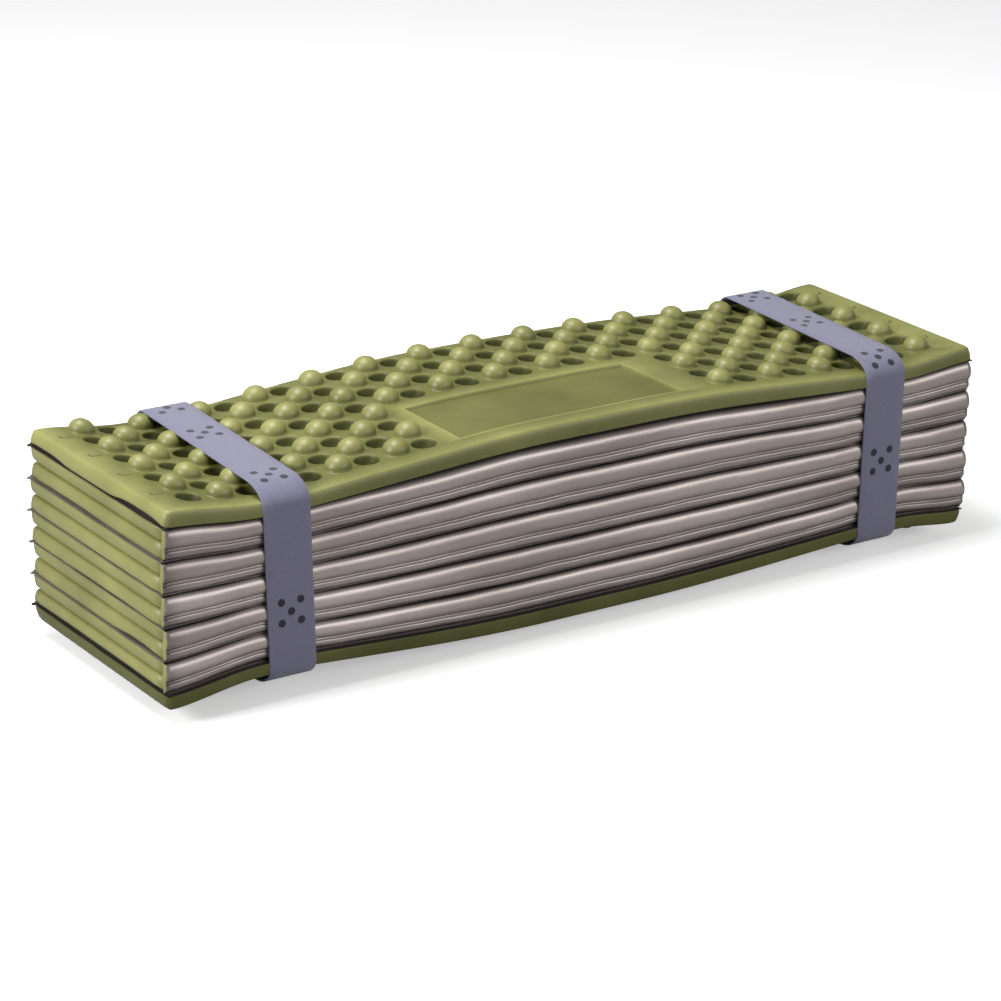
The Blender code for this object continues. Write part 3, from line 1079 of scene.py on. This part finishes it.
class FoldStrip:
    """The foam and film that turn a pair of panels round a front fold: one silver row."""

    # From the top edge to the bottom edge: how far in from the front, in millimetres, and the
    # share of the row's height
    PROFILE = (
        (4.3, 0.020), (3.3, 0.010), (2.35, 0.012), (1.55, 0.034), (0.92, 0.075), (0.42, 0.125), (0.02, 0.180),
        (-0.30, 0.242), (-0.50, 0.310), (-0.54, 0.380), (-0.40, 0.450), (-0.08, 0.518), (0.42, 0.580),
        (1.15, 0.612), (0.82, 0.636), (0.72, 0.676), (0.82, 0.704), (1.20, 0.722), (0.80, 0.740),
        (0.62, 0.790), (0.66, 0.845), (0.92, 0.900), (1.45, 0.947), (2.30, 0.982), (3.3, 0.990), (4.3, 0.980),
    )
    CREASES = (0.612, 0.722)
    CORE = ((4.3, 0.955), (4.3, 0.80), (4.7, 0.66), (5.6, 0.50), (4.7, 0.34), (4.3, 0.20), (4.3, 0.045))
    STEP = 0.0025
    SHEET = 0.00035
    CLOSE = 0.00045  # how near the inner edges come to the film's own plane

    def __init__(self, bundle: Bundle, palette: Palette) -> None:
        self.bundle, self.palette = bundle, palette

    def stations(self) -> np.ndarray:
        """The x values of the row's sections."""
        reach = self.bundle.sizes.half_length
        count = int(round(2 * reach / self.STEP))
        return np.linspace(-reach + 0.0002, reach - 0.0002, count + 1)

    def edges(self, x: np.ndarray, upper: int) -> tuple[np.ndarray, np.ndarray]:
        """Heights of the row's top and bottom edges along x, in the unsqueezed stack."""
        sizes = self.bundle.sizes
        free = self.bundle.free_span(x)
        top_gap = 0.50 + 0.22 * (1 + wobble(x, 30 + upper, (0.12, 0.061, 0.033)))
        low_gap = 0.50 + 0.38 * (1 + wobble(x, 50 + upper, (0.11, 0.052, 0.027)))
        if upper == 2:
            top_gap = top_gap + 1.5 * free
        if upper == sizes.count - 2:
            low_gap = low_gap + 1.0 + 0.5 * free
        top = sizes.film_plane(upper) - top_gap * MILLIMETRE
        low = sizes.film_plane(upper + 1) + low_gap * MILLIMETRE
        return top, low

    def section(
        self, x: float, edges: tuple[float, float], depths: np.ndarray, shares: np.ndarray, lead: float,
        upper: int,
    ) -> np.ndarray:
        """One section of the row, its inner edges drawn to the films that they run on from."""
        top, low = edges
        sizes = self.bundle.sizes
        inner = ease((depths - 1.6) / 2.4)
        y = -sizes.half_depth + depths * MILLIMETRE + lead * (1 - inner)
        z = top + (low - top) * shares
        above, below = sizes.film_plane(upper) - self.CLOSE, sizes.film_plane(upper + 1) + self.CLOSE
        close = np.where(shares < 0.5, above, below)
        near_edge = (shares < 0.08) | (shares > 0.94)
        z = np.where(near_edge, z + (close - z) * inner, z)
        return np.column_stack((np.full(len(y), x), y, z))

    def lead(self, x: np.ndarray, upper: int) -> np.ndarray:
        """How far the row stands in from the front plane along x."""
        press = 1.1 * self.bundle.pinch(x) - 0.9 * self.bundle.free_span(x)
        own = np.random.default_rng(70 + upper).uniform(-0.35, 0.35)
        waves = 0.30 * wobble(x, 80 + upper, (0.21, 0.095, 0.05))
        return (press + own + waves) * MILLIMETRE

    @staticmethod
    def inner(
        depths: np.ndarray, shares: np.ndarray, height: float, thickness: float
    ) -> tuple[np.ndarray, np.ndarray]:
        """The profile moved inwards by a thickness."""
        y, z = depths * MILLIMETRE, -shares * height
        dy, dz = np.gradient(y), np.gradient(z)
        length = np.hypot(dy, dz)
        y, z = y - dz / length * thickness, z + dy / length * thickness
        return y / MILLIMETRE, -z / height

    def film(self, upper: int) -> bpy.types.Object:
        """The row's film."""
        sizes = self.bundle.sizes
        depths, shares = np.array(self.PROFILE).T
        height = 2 * sizes.pitch
        in_depths, in_shares = self.inner(depths, shares, height, self.SHEET)
        x = self.stations()
        top, low = self.edges(x, upper)
        lead = self.lead(x, upper)
        loop_depths = np.concatenate((depths, in_depths[::-1]))
        loop_shares = np.concatenate((shares, in_shares[::-1]))
        soft = np.exp(-((loop_shares - 0.67) / 0.07) ** 2)
        plan, rows = MeshPlan(), []
        for i, place in enumerate(x):
            extra = 0.25 * soft * wobble(np.array([place]), 90 + upper, (0.06, 0.027))[0]
            section = self.section(place, (top[i], low[i]), loop_depths + extra, loop_shares, lead[i], upper)
            rows.append(plan.add_points(section))
        plan.add_tube(rows)
        plan.add_caps(rows)
        points = shift_ends(plan.all_points(), upper, sizes)
        name = f"fold_film_{upper:02d}_{upper + 1:02d}"
        obj = plan.build(name, self.palette.film, self.bundle.apply(points))
        depth, share = np.tile(loop_depths, len(x)), np.tile(loop_shares, len(x))
        # Painted shade: on the edges that turn into the seams between rows, along the two creases, over the
        # lower part of each row and at the rows' left ends.
        edge = unit((depth - 1.3) / 1.8)
        lines = np.maximum(*(np.abs(share - crease) < 0.004 for crease in self.CREASES))
        under = 0.22 * ease((share - 0.30) / 0.30)
        near_end = 0.42 * np.exp(-(((points[:, 0] + sizes.half_length) / 0.007) ** 2))
        set_painted_shade(obj, edge + 0.55 * lines + under + near_end)
        log.info("fold film %d: %d faces", upper, len(obj.data.polygons))
        return obj

    def foam(self, upper: int) -> bpy.types.Object:
        """The row's foam, rounded at its ends."""
        sizes = self.bundle.sizes
        depths, shares = np.array(self.PROFILE).T
        height = 2 * sizes.pitch
        out_depths, out_shares = self.inner(depths, shares, height, self.SHEET + 0.0001)
        core_depths, core_shares = np.array(self.CORE).T
        loop_depths = np.concatenate((out_depths, core_depths))
        loop_shares = np.concatenate((out_shares, core_shares))
        mid_depth, mid_share = loop_depths.mean(), 0.5
        x = self.stations()
        reach = x[-1]
        top, low = self.edges(x, upper)
        lead = self.lead(x, upper)
        plan, rows = MeshPlan(), []
        ends = [(reach - 0.0012, 0.985), (reach - 0.0005, 0.94), (reach - 0.0001, 0.86), (reach, 0.74)]
        inside = [(place, 1.0) for place in x[1:-1]]
        for place, scale in [(-a, s) for a, s in ends[::-1]] + inside + ends:
            i = int(np.argmin(np.abs(x - place)))
            d = mid_depth + (loop_depths - mid_depth) * (1 - (1 - scale) * 0.6)
            s = mid_share + (loop_shares - mid_share) * (1 - (1 - scale) * 0.22)
            section = self.section(place, (top[i], low[i]), d, s, lead[i], upper)
            rows.append(plan.add_points(section))
        plan.add_tube(rows)
        plan.faces.append(tuple(rows[0].tolist()))
        plan.faces.append(tuple(rows[-1][::-1].tolist()))
        points = shift_ends(plan.all_points(), upper, sizes)
        name = f"fold_foam_{upper:02d}_{upper + 1:02d}"
        obj = plan.build(name, self.palette.foam, self.bundle.apply(points))
        set_painted_shade(obj, np.zeros(len(points)))
        return obj


class FilmSheet:
    """The thin film on one panel, a little longer than the foam, with loose corners behind."""

    GAP, THICKNESS = 0.00018, 0.00022
    # Places of the grid lines beside an edge, closest at the edge itself
    FINE = (0.0, 0.0008, 0.0016, 0.0026, 0.0038, 0.0050, 0.0064)

    def __init__(self, bundle: Bundle, palette: Palette) -> None:
        self.bundle, self.palette = bundle, palette

    def lines(self, low: float, high: float, coarse: float) -> np.ndarray:
        """Grid lines between two ends, closer together near them."""
        inner = np.linspace(low + self.FINE[-1], high - self.FINE[-1], max(2, int((high - low) / coarse)))
        start = [low + value for value in self.FINE[:-1]]
        return np.array(start + inner.tolist() + [high - value for value in self.FINE[:-1]][::-1])

    def build(self, number: int) -> bpy.types.Object:
        """Make the film of one panel."""
        sizes = self.bundle.sizes
        up = 1 if number % 2 else -1
        front = -sizes.half_depth + (0.0001 if sizes.is_outer(number) else 0.0034)
        xs = self.lines(-sizes.half_length, sizes.half_length, 0.0065)
        ys = self.lines(front, sizes.half_depth - 0.0001, 0.0070)
        gx, gy = np.meshgrid(xs, ys, indexing="ij")
        dice = np.random.default_rng(200 + number)
        edge = 0.0002 + 0.00025 * wobble(gy, 210 + number, (0.045, 0.017, 0.009))
        reach = unit((np.abs(gx) - sizes.half_length + 0.006) / 0.006)
        spike = dice.uniform(0.0008, 0.0020) * np.exp(-((gy - sizes.half_depth + 0.0010) / 0.0010) ** 2)
        spike_right = dice.uniform(0.0004, 0.0016) * np.exp(-((gy - front - 0.0015) / 0.0018) ** 2)
        grow = edge + np.where(gx < 0, spike, spike_right + 0.3 * spike)
        gx = gx + np.sign(gx) * reach**2 * grow
        droop = -up * 0.0001 - 0.25 * reach**2 * np.where(gx < 0, spike, 0.0)
        plan, tables = MeshPlan(), []
        for level in (self.GAP, self.GAP + self.THICKNESS):
            z = np.full_like(gx, sizes.film_plane(number) + up * level) + droop * (up < 0)
            layer = np.column_stack((gx.ravel(), gy.ravel(), z.ravel()))
            tables.append(plan.add_points(layer).reshape(gx.shape))
        near, far = tables
        plan.add_grid(near, flip=up > 0)
        plan.add_grid(far, flip=up < 0)
        ring = perimeter(len(xs) - 1, len(ys) - 1)
        plan.add_tube([[near[i, j] for i, j in ring], [far[i, j] for i, j in ring]], flip=up > 0)
        points = shift_ends(plan.all_points(), number, sizes)
        obj = plan.build(f"panel_film_{number:02d}", self.palette.film, self.bundle.apply(points))
        # Painted shade along the front, end and back edges, where the film runs into seams and slits.
        front_edge = 1.0 - unit((points[:, 1] + sizes.half_depth) / 0.006)
        dark = 1.0 if number in (1, 2, sizes.count - 1, sizes.count) else 0.6
        ends = dark * unit((np.abs(points[:, 0]) - sizes.half_length + 0.006) / 0.006)
        back_edge = 0.6 * unit((points[:, 1] - sizes.half_depth + 0.002) / 0.002)
        set_painted_shade(obj, np.maximum(np.maximum(front_edge, ends), back_edge))
        return obj


class HingeWeb:
    """The thin foam that is left round a back fold, and the film inside it."""

    STEPS = 8
    # Outer radius and thickness
    FOAM = (0.00125, 0.00055)
    FILM = (0.00066, 0.00018)

    def __init__(self, bundle: Bundle, palette: Palette) -> None:
        self.bundle, self.palette = bundle, palette

    def build(self, upper: int, film: bool) -> bpy.types.Object:
        """Make the foam web between an odd panel and the next one, or its film."""
        radius_out, thickness = self.FILM if film else self.FOAM
        sizes = self.bundle.sizes
        height, edge = sizes.film_plane(upper), sizes.half_depth - 0.0006
        xs = np.linspace(-sizes.half_length + 0.0012, sizes.half_length - 0.0012, 180)
        angles = np.linspace(math.pi / 2, -math.pi / 2, self.STEPS + 1)
        plan, rows = MeshPlan(), []
        for x in xs:
            wave = wobble(np.array([x]), 300 + upper, (0.03, 0.013))[0]
            outer = radius_out + (0.0 if film else 0.00012) * wave
            section = []
            for radius, turns in ((outer, angles), (outer - thickness, angles[::-1])):
                section += [(x, edge + radius * math.cos(t), height + radius * math.sin(t)) for t in turns]
            rows.append(plan.add_points(np.array(section)))
        plan.add_tube(rows, flip=True)
        plan.add_caps(rows, flip=False)
        name = f"hinge_{'film' if film else 'web'}_{upper:02d}_{upper + 1:02d}"
        finish = self.palette.film if film else self.palette.foam
        obj = plan.build(name, finish, self.bundle.apply(plan.all_points()))
        # Painted shade, even over the whole web as it sits inside the fold.
        set_painted_shade(obj, np.full(plan.count, 0.25))
        return obj


# Straps


class Ribbon:
    """A flat band of webbing swept along a path in the YZ plane."""

    EDGE = 0.0005
    TICK = 0.00010  # how far every other point of the selvedge stands out
    FAR = 0.03  # the "mark" value away from every mark

    def __init__(self, width: float, thickness: float, finish: bpy.types.Material) -> None:
        self.width, self.thickness, self.finish = width, thickness, finish

    def build(
        self, name: str, x: np.ndarray, path: np.ndarray, closed: bool, marks: Sequence[int] = ()
    ) -> bpy.types.Object:
        """Make the band.

        Args:
            name: the object's name.
            x: centre line of the band at each point of the path.
            path: inner points of the band in Y and Z, evenly spaced, top to back to bottom.
            closed: whether the path is a loop.
            marks: points of the path where a printed mark has its centre.

        Returns:
            The band, with a UV map in metres along and across it.
        """
        ahead = np.roll(path, -1, 0) - path if closed else np.gradient(path, axis=0)
        behind = path - np.roll(path, 1, 0) if closed else ahead
        tangent = ahead + behind
        tangent /= np.linalg.norm(tangent, axis=1)[:, None]
        normal = np.column_stack((tangent[:, 1], -tangent[:, 0]))
        half, edge = self.width / 2, self.EDGE
        across = np.array([-half, -half + edge, -half * 0.5, 0.0, half * 0.5, half - edge, half])
        lift = np.array([0.30, 0.0, 0.0, 0.0, 0.0, 0.0, 0.30]) * self.thickness
        loop_v = np.concatenate((across, across[::-1]))
        loop_h = np.concatenate((self.thickness - lift, lift[::-1]))
        steps = np.linalg.norm(ahead, axis=1)
        run = np.concatenate(([0.0], np.cumsum(steps)))
        plan, rows = MeshPlan(), []
        for i, (point, out) in enumerate(zip(path, normal)):
            v = loop_v.copy()
            v[[0, 6, 7, 13]] *= 1 + (self.TICK / half) * (1 if i % 2 else -1)
            places = np.column_stack((x[i] + v, point[0] + out[0] * loop_h, point[1] + out[1] * loop_h))
            rows.append(plan.add_points(places))
        if closed:
            rows.append(rows[0])
        plan.add_tube(rows)
        if not closed:
            plan.add_caps(rows)
        obj = plan.build(name, self.finish)
        self.map_uv(obj, len(rows) - 1, loop_v, run)
        near = np.full(len(path), self.FAR)
        for mark in marks:
            away = np.abs(run[:len(path)] - run[mark])
            near = np.minimum(near, np.minimum(away, np.abs(run[len(path) - 1] - away)))
        add_attribute(obj, "mark", np.repeat(near, len(loop_v)))
        return obj

    @staticmethod
    def map_uv(obj: bpy.types.Object, spans: int, loop_v: np.ndarray, run: np.ndarray) -> None:
        """Lay out each quad by its distance along and across the band."""
        layer = obj.data.uv_layers.new(name="UVMap")
        size = len(loop_v)
        around = np.append(loop_v, loop_v[0])
        uvs = np.zeros((len(obj.data.loops), 2))
        for face in range(spans * size):
            i, j = divmod(face, size)
            a, b, c, d = run[i], run[i + 1], around[j], around[j + 1]
            uvs[face * 4:face * 4 + 4] = ((a, c), (b, c), (b, d), (a, d))
        layer.data.foreach_set("uv", uvs.ravel())


@dataclass(frozen=True)
class StrapLay:
    """How one strap lies: how far it strays along X round its loop, and where its marks are.

    The drift is given at the back and front top edges and at the front and back bottom edges.
    Marks are points in Y and Z near the loop.
    """

    drift: tuple[float, float, float, float]
    marks: tuple[tuple[float, float], ...]


class Strap:
    """An elastic strap, its sewn lap behind the mat and the bar tack through it."""

    GAP = 0.0003
    BACK_GAP = 0.0010
    STEP = 0.0008
    STITCHES = 20
    # Along a stitch, in its lengths, and the share of its full thickness there
    STITCH_PROFILE = ((-0.5, 0.35), (-0.44, 0.75), (-0.34, 1.0), (0.34, 1.0), (0.44, 0.75), (0.5, 0.35))
    SMOOTHING = 20  # points on each side over which the drift is evened out
    LAYS = {
        Side.LEFT: StrapLay(
            (0.0070, -0.0010, 0.0035, 0.0030),
            ((0.066, 0.128), (0.018, 0.128), (-0.058, 0.124), (-0.078, 0.051)),
        ),
        Side.RIGHT: StrapLay(
            (0.0060, -0.0020, -0.0030, 0.0020),
            ((0.060, 0.130), (0.004, 0.130), (-0.070, 0.128), (-0.078, 0.062)),
        ),
    }
    LOWER_MARKS = ((-0.030, 0.008), (0.040, 0.008), (0.078, 0.040), (0.078, 0.105))

    def __init__(self, bundle: Bundle, sizes: StrapSizes, tree: InstanceTree, palette: Palette) -> None:
        self.bundle, self.sizes, self.tree, self.palette = bundle, sizes, tree, palette

    def path(self) -> np.ndarray:
        """The loop over the bumps and down both faces, with long soft shoulders."""
        mat, relief = self.bundle.sizes, ReliefSizes()
        low, high = self.sizes.low + self.sizes.thickness, self.sizes.high - self.sizes.thickness
        last = (relief.rows - 1) / 2 * relief.pitch_y + 0.0034
        reach_z = relief.bump_height + 0.004 + self.GAP
        points = []
        for sy, sz in ((1, 1), (1, -1), (-1, -1), (-1, 1)):
            end_z = high if sz > 0 else low
            out = mat.half_depth + (self.GAP if sy < 0 else self.BACK_GAP)
            reach_y = out - last - sy * relief.centre_y
            turns = np.linspace(0, math.pi / 2, 25)
            y = sy * (out - reach_y * (1 - np.cos(turns)))
            z = end_z - sz * reach_z * (1 - np.sin(turns))
            corner = np.column_stack((y, z))
            points.append(corner[::-1] if sy * sz > 0 else corner)
        loop = np.concatenate(points)
        return self.even(np.vstack((loop, loop[:1])))

    def even(self, points: np.ndarray) -> np.ndarray:
        """The same loop with evenly spaced points."""
        run = distances(points)
        count = 2 * int(run[-1] / self.STEP / 2)
        at = np.linspace(0, run[-1], count, endpoint=False)
        return np.column_stack((np.interp(at, run, points[:, 0]), np.interp(at, run, points[:, 1])))

    def build(self) -> None:
        """Make the strap's three pieces."""
        side, lay = self.sizes.side.value, self.LAYS[self.sizes.side]
        ribbon = Ribbon(self.sizes.width, self.sizes.thickness, self.palette.webbing)
        path = self.path()
        marks = [nearest(path, mark) for mark in lay.marks + self.LOWER_MARKS]
        loop = ribbon.build(f"strap_{side}_webbing", self.centre_line(path), path, True, marks)
        low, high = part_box(f"strap_{side}_lap")
        z = np.linspace(high.z, low.z, 37)
        lap_path = np.column_stack((np.full(len(z), low.y), z))
        behind = self.sizes.centre + (lay.drift[0] + lay.drift[3]) / 2
        lap = ribbon.build(f"strap_{side}_lap_webbing", np.full(len(z), behind), lap_path, False)
        tack = self.tack(side, behind - self.sizes.centre)
        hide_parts(f"strap_{side}")
        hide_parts(f"strap_{side}_lap")
        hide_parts(f"strap_{side}_tack")
        for obj, slot in ((loop, "webbing"), (lap, "webbing"), (tack, "thread")):
            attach(obj, f"strap_{side}")
        log.info("strap %s: %d faces", side, len(loop.data.polygons))

    def centre_line(self, path: np.ndarray) -> np.ndarray:
        """The X of the strap's centre line at each point of its loop."""
        run = distances(path)
        reach, drift = self.bundle.sizes.half_depth, self.LAYS[self.sizes.side].drift
        high, low = self.sizes.high, self.sizes.low
        corners = ((reach, high), (-reach, high), (-reach, low), (reach, low))
        at = [run[nearest(path, corner)] for corner in corners]
        order = np.argsort(at)
        step = run[1] - run[0]
        stray = np.interp(run, np.array(at)[order], np.array(drift)[order], period=run[-1] + step)
        count = 2 * self.SMOOTHING + 1
        padded = np.concatenate((stray[-self.SMOOTHING:], stray, stray[:self.SMOOTHING]))
        return self.sizes.centre + np.convolve(padded, np.ones(count) / count, "valid")

    def tack(self, side: str, stray: float) -> bpy.types.Object:
        """The bar tack: close upright stitches side by side."""
        low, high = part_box(f"strap_{side}_tack")
        low.x, high.x = low.x + stray, high.x + stray
        stitch = self.stitch(high.z - low.z, high.y - low.y)
        middle, step = (low.z + high.z) / 2, (high.x - low.x) / self.STITCHES
        places = [(low.x + step * (i + 0.5), low.y, middle) for i in range(self.STITCHES)]
        kinds, name = [Cell.BUMP] * self.STITCHES, f"strap_{side}_stitches"
        mesh = self.tree.run(name, places, kinds, {"Bump": stitch}, 0.0, self.palette.thread)
        bpy.data.objects.remove(stitch)
        mesh.polygons.foreach_set("use_smooth", np.ones(len(mesh.polygons), bool))
        return link(bpy.data.objects.new(f"strap_{side}_stitches", mesh))

    def stitch(self, length: float, thickness: float) -> bpy.types.Object:
        """One stitch, a slim rounded bar."""
        plan, rows, sides = MeshPlan(), [], 8
        turns = np.arange(sides) * 2 * math.pi / sides
        for share, size in self.STITCH_PROFILE:
            y = thickness / 2 + np.sin(turns) * thickness / 2 * size
            ring = np.column_stack((np.cos(turns) * 0.00042 * size, y, np.full(sides, share * length)))
            rows.append(plan.add_points(ring))
        plan.add_tube(rows, flip=True)
        plan.faces.append(tuple(rows[0][::-1].tolist()))
        plan.faces.append(tuple(rows[-1].tolist()))
        return plan.loose("stitch")


# Assembly


class SleepingMat:
    """The folded mat with its straps."""

    FINE, MEDIUM, COARSE = 6, 4, 2

    def __init__(self, frame: dict) -> None:
        self.sizes = MatSizes.from_frame(frame)
        self.straps = [StrapSizes.from_frame(side) for side in Side]
        self.bundle = Bundle(self.sizes, self.straps)
        self.tree = InstanceTree("set_pieces_on_points")
        self.palette = Palette(
            FoamFinish("foam_olive").material,
            CutFoamFinish("foam_olive_cut", self.sizes, MarkSizes()).material,
            FilmFinish("film_silver").material,
            WebbingFinish("webbing_lavender", 0.0023, 0.0060).material,
            ThreadFinish("thread_dark").material,
        )
        self.relief = ReliefSizes()

    def tiles(self, per_side: int, block: RecessBlock | None, nested: bool) -> dict[str, bpy.types.Object]:
        """The relief's pieces at one fineness."""
        tile = ReliefTile(self.relief, per_side, coarse=per_side == self.COARSE)
        relief = self.relief
        bump, pit = (relief.bump_radius, relief.bump_height), (relief.pit_radius, -relief.pit_depth)
        if nested:
            bump = (relief.nested_bump_radius, relief.nested_bump_height)
            pit = (relief.nested_pit_radius, -relief.nested_pit_depth)
        made = {"Bump": tile.build("tile_bump", *bump), "Pit": tile.build("tile_pit", *pit)}
        if block:
            made["Block"] = block.build("tile_block")
        return made

    def foam(self) -> None:
        """Make the twelve panels."""
        maker = FoamPanel(self.bundle, self.relief, self.tree, self.palette)
        block = RecessBlock(self.relief, RecessSizes(), self.FINE)
        plans = [(1, self.FINE, block, False), (self.sizes.count, self.MEDIUM, None, False)]
        plans += [(number, self.COARSE, None, True) for number in range(2, self.sizes.count)]
        for number, per_side, bare, nested in plans:
            tiles = self.tiles(per_side, bare, nested)
            panel = maker.build(number, per_side, tiles, bare)
            for tile in tiles.values():
                bpy.data.objects.remove(tile)
            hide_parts(f"foam_{number:02d}")
            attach(panel, f"panel_{number:02d}")

    def film(self) -> None:
        """Make the film of the twelve panels."""
        maker = FilmSheet(self.bundle, self.palette)
        for number in range(1, self.sizes.count + 1):
            sheet = maker.build(number)
            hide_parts(f"film_{number:02d}")
            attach(sheet, f"panel_{number:02d}")
        log.info("film: %d sheets", self.sizes.count)

    def folds(self) -> None:
        """Make the silver rows of the front folds and the webs of the back folds."""
        strips = FoldStrip(self.bundle, self.palette)
        for upper in range(2, self.sizes.count, 2):
            pair = f"{upper:02d}_{upper + 1:02d}"
            film, foam = strips.film(upper), strips.foam(upper)
            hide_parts(f"spine_film_{pair}")
            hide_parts(f"spine_foam_{pair}")
            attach(film, f"spine_{pair}")
            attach(foam, f"spine_{pair}")
        webs = HingeWeb(self.bundle, self.palette)
        for upper in range(1, self.sizes.count, 2):
            plane, edge = self.sizes.film_plane(upper), self.sizes.half_depth
            for film in (False, True):
                web = webs.build(upper, film)
                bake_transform(web)
        log.info("folds made")

    def build(self) -> None:
        """Make every piece."""
        self.foam()
        self.film()
        self.folds()
        for strap in self.straps:
            Strap(self.bundle, strap, self.tree, self.palette).build()


# Studio


@dataclass(frozen=True)
class CameraView:
    """Where the camera stands and how it looks, in metres and degrees."""

    place: tuple[float, float, float] = (-1.10167, -1.60163, 0.77203)
    yaw: float = 34.232
    pitch: float = 20.344
    roll: float = 1.076
    lens: float = 128.3
    sensor: float = 36.0

    def matrix(self) -> Matrix:
        """The camera's matrix."""
        yaw, pitch, roll = (math.radians(angle) for angle in (self.yaw, self.pitch, self.roll))
        ahead = Vector((math.sin(yaw) * math.cos(pitch), math.cos(yaw) * math.cos(pitch), -math.sin(pitch)))
        right = Vector((math.cos(yaw), -math.sin(yaw), 0.0))
        up = right.cross(ahead)
        tilted_right = right * math.cos(roll) + up * math.sin(roll)
        tilted_up = up * math.cos(roll) - right * math.sin(roll)
        matrix = Matrix((tilted_right, tilted_up, -ahead)).transposed().to_4x4()
        matrix.translation = self.place
        return matrix


@dataclass(frozen=True)
class SoftLight:
    """One area light aimed at the mat."""

    name: str
    place: tuple[float, float, float]
    size: tuple[float, float]
    power: float
    aim: tuple[float, float, float] = (0.0, 0.0, 0.06)

    def build(self) -> bpy.types.Object:
        """Make the light."""
        data = bpy.data.lights.new(self.name, "AREA")
        data.shape = "RECTANGLE"
        data.size, data.size_y = self.size
        data.energy = self.power
        obj = link(bpy.data.objects.new(self.name, data))
        obj.location = self.place
        obj.rotation_euler = (Vector(self.aim) - Vector(self.place)).to_track_quat("-Z", "Y").to_euler()
        return obj


class Studio:
    """A pale floor, soft lights and the camera."""

    LIGHTS = (
        SoftLight("top_light", (-0.35, 0.25, 1.5), (0.85, 0.60), 23.0),
        SoftLight("front_light", (1.05, -1.9, 1.05), (2.0, 0.40), 20.0),
        SoftLight("left_light", (-2.0, 0.1, 1.0), (0.6, 0.6), 34.0),
    )

    def build(self) -> None:
        """Make the studio."""
        self.floor()
        for light in self.LIGHTS:
            light.build()
        world = bpy.data.worlds.new("studio")
        world.use_nodes = True
        world.node_tree.nodes["Background"].inputs["Color"].default_value = (1.0, 1.0, 1.0, 1.0)
        world.node_tree.nodes["Background"].inputs["Strength"].default_value = 0.24
        bpy.context.scene.world = world
        bpy.context.scene.view_settings.view_transform = "Standard"
        view = CameraView()
        data = bpy.data.cameras.new("camera")
        data.lens, data.sensor_width = view.lens, view.sensor
        data.clip_start, data.clip_end = 0.05, 50.0
        camera = link(bpy.data.objects.new("camera", data))
        camera.matrix_world = view.matrix()
        bpy.context.scene.camera = camera

    @staticmethod
    def floor() -> None:
        """A large pale floor."""
        mesh = bpy.data.meshes.new("floor")
        mesh.from_pydata([(-8, -8, 0), (8, -8, 0), (8, 8, 0), (-8, 8, 0)], [], [(0, 1, 2, 3)])
        finish = FloorFinish("floor_white")
        mesh.materials.append(finish.material)
        floor = link(bpy.data.objects.new("floor", mesh))


def main() -> None:
    """Build the mat and its studio."""
    logging.basicConfig(level=logging.INFO, format="%(message)s")
    for obj in list(bpy.data.objects):
        bpy.data.objects.remove(obj, do_unlink=True)
    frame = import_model()
    SleepingMat(frame).build()
    Studio().build()


if __name__ == "__main__":
    main()
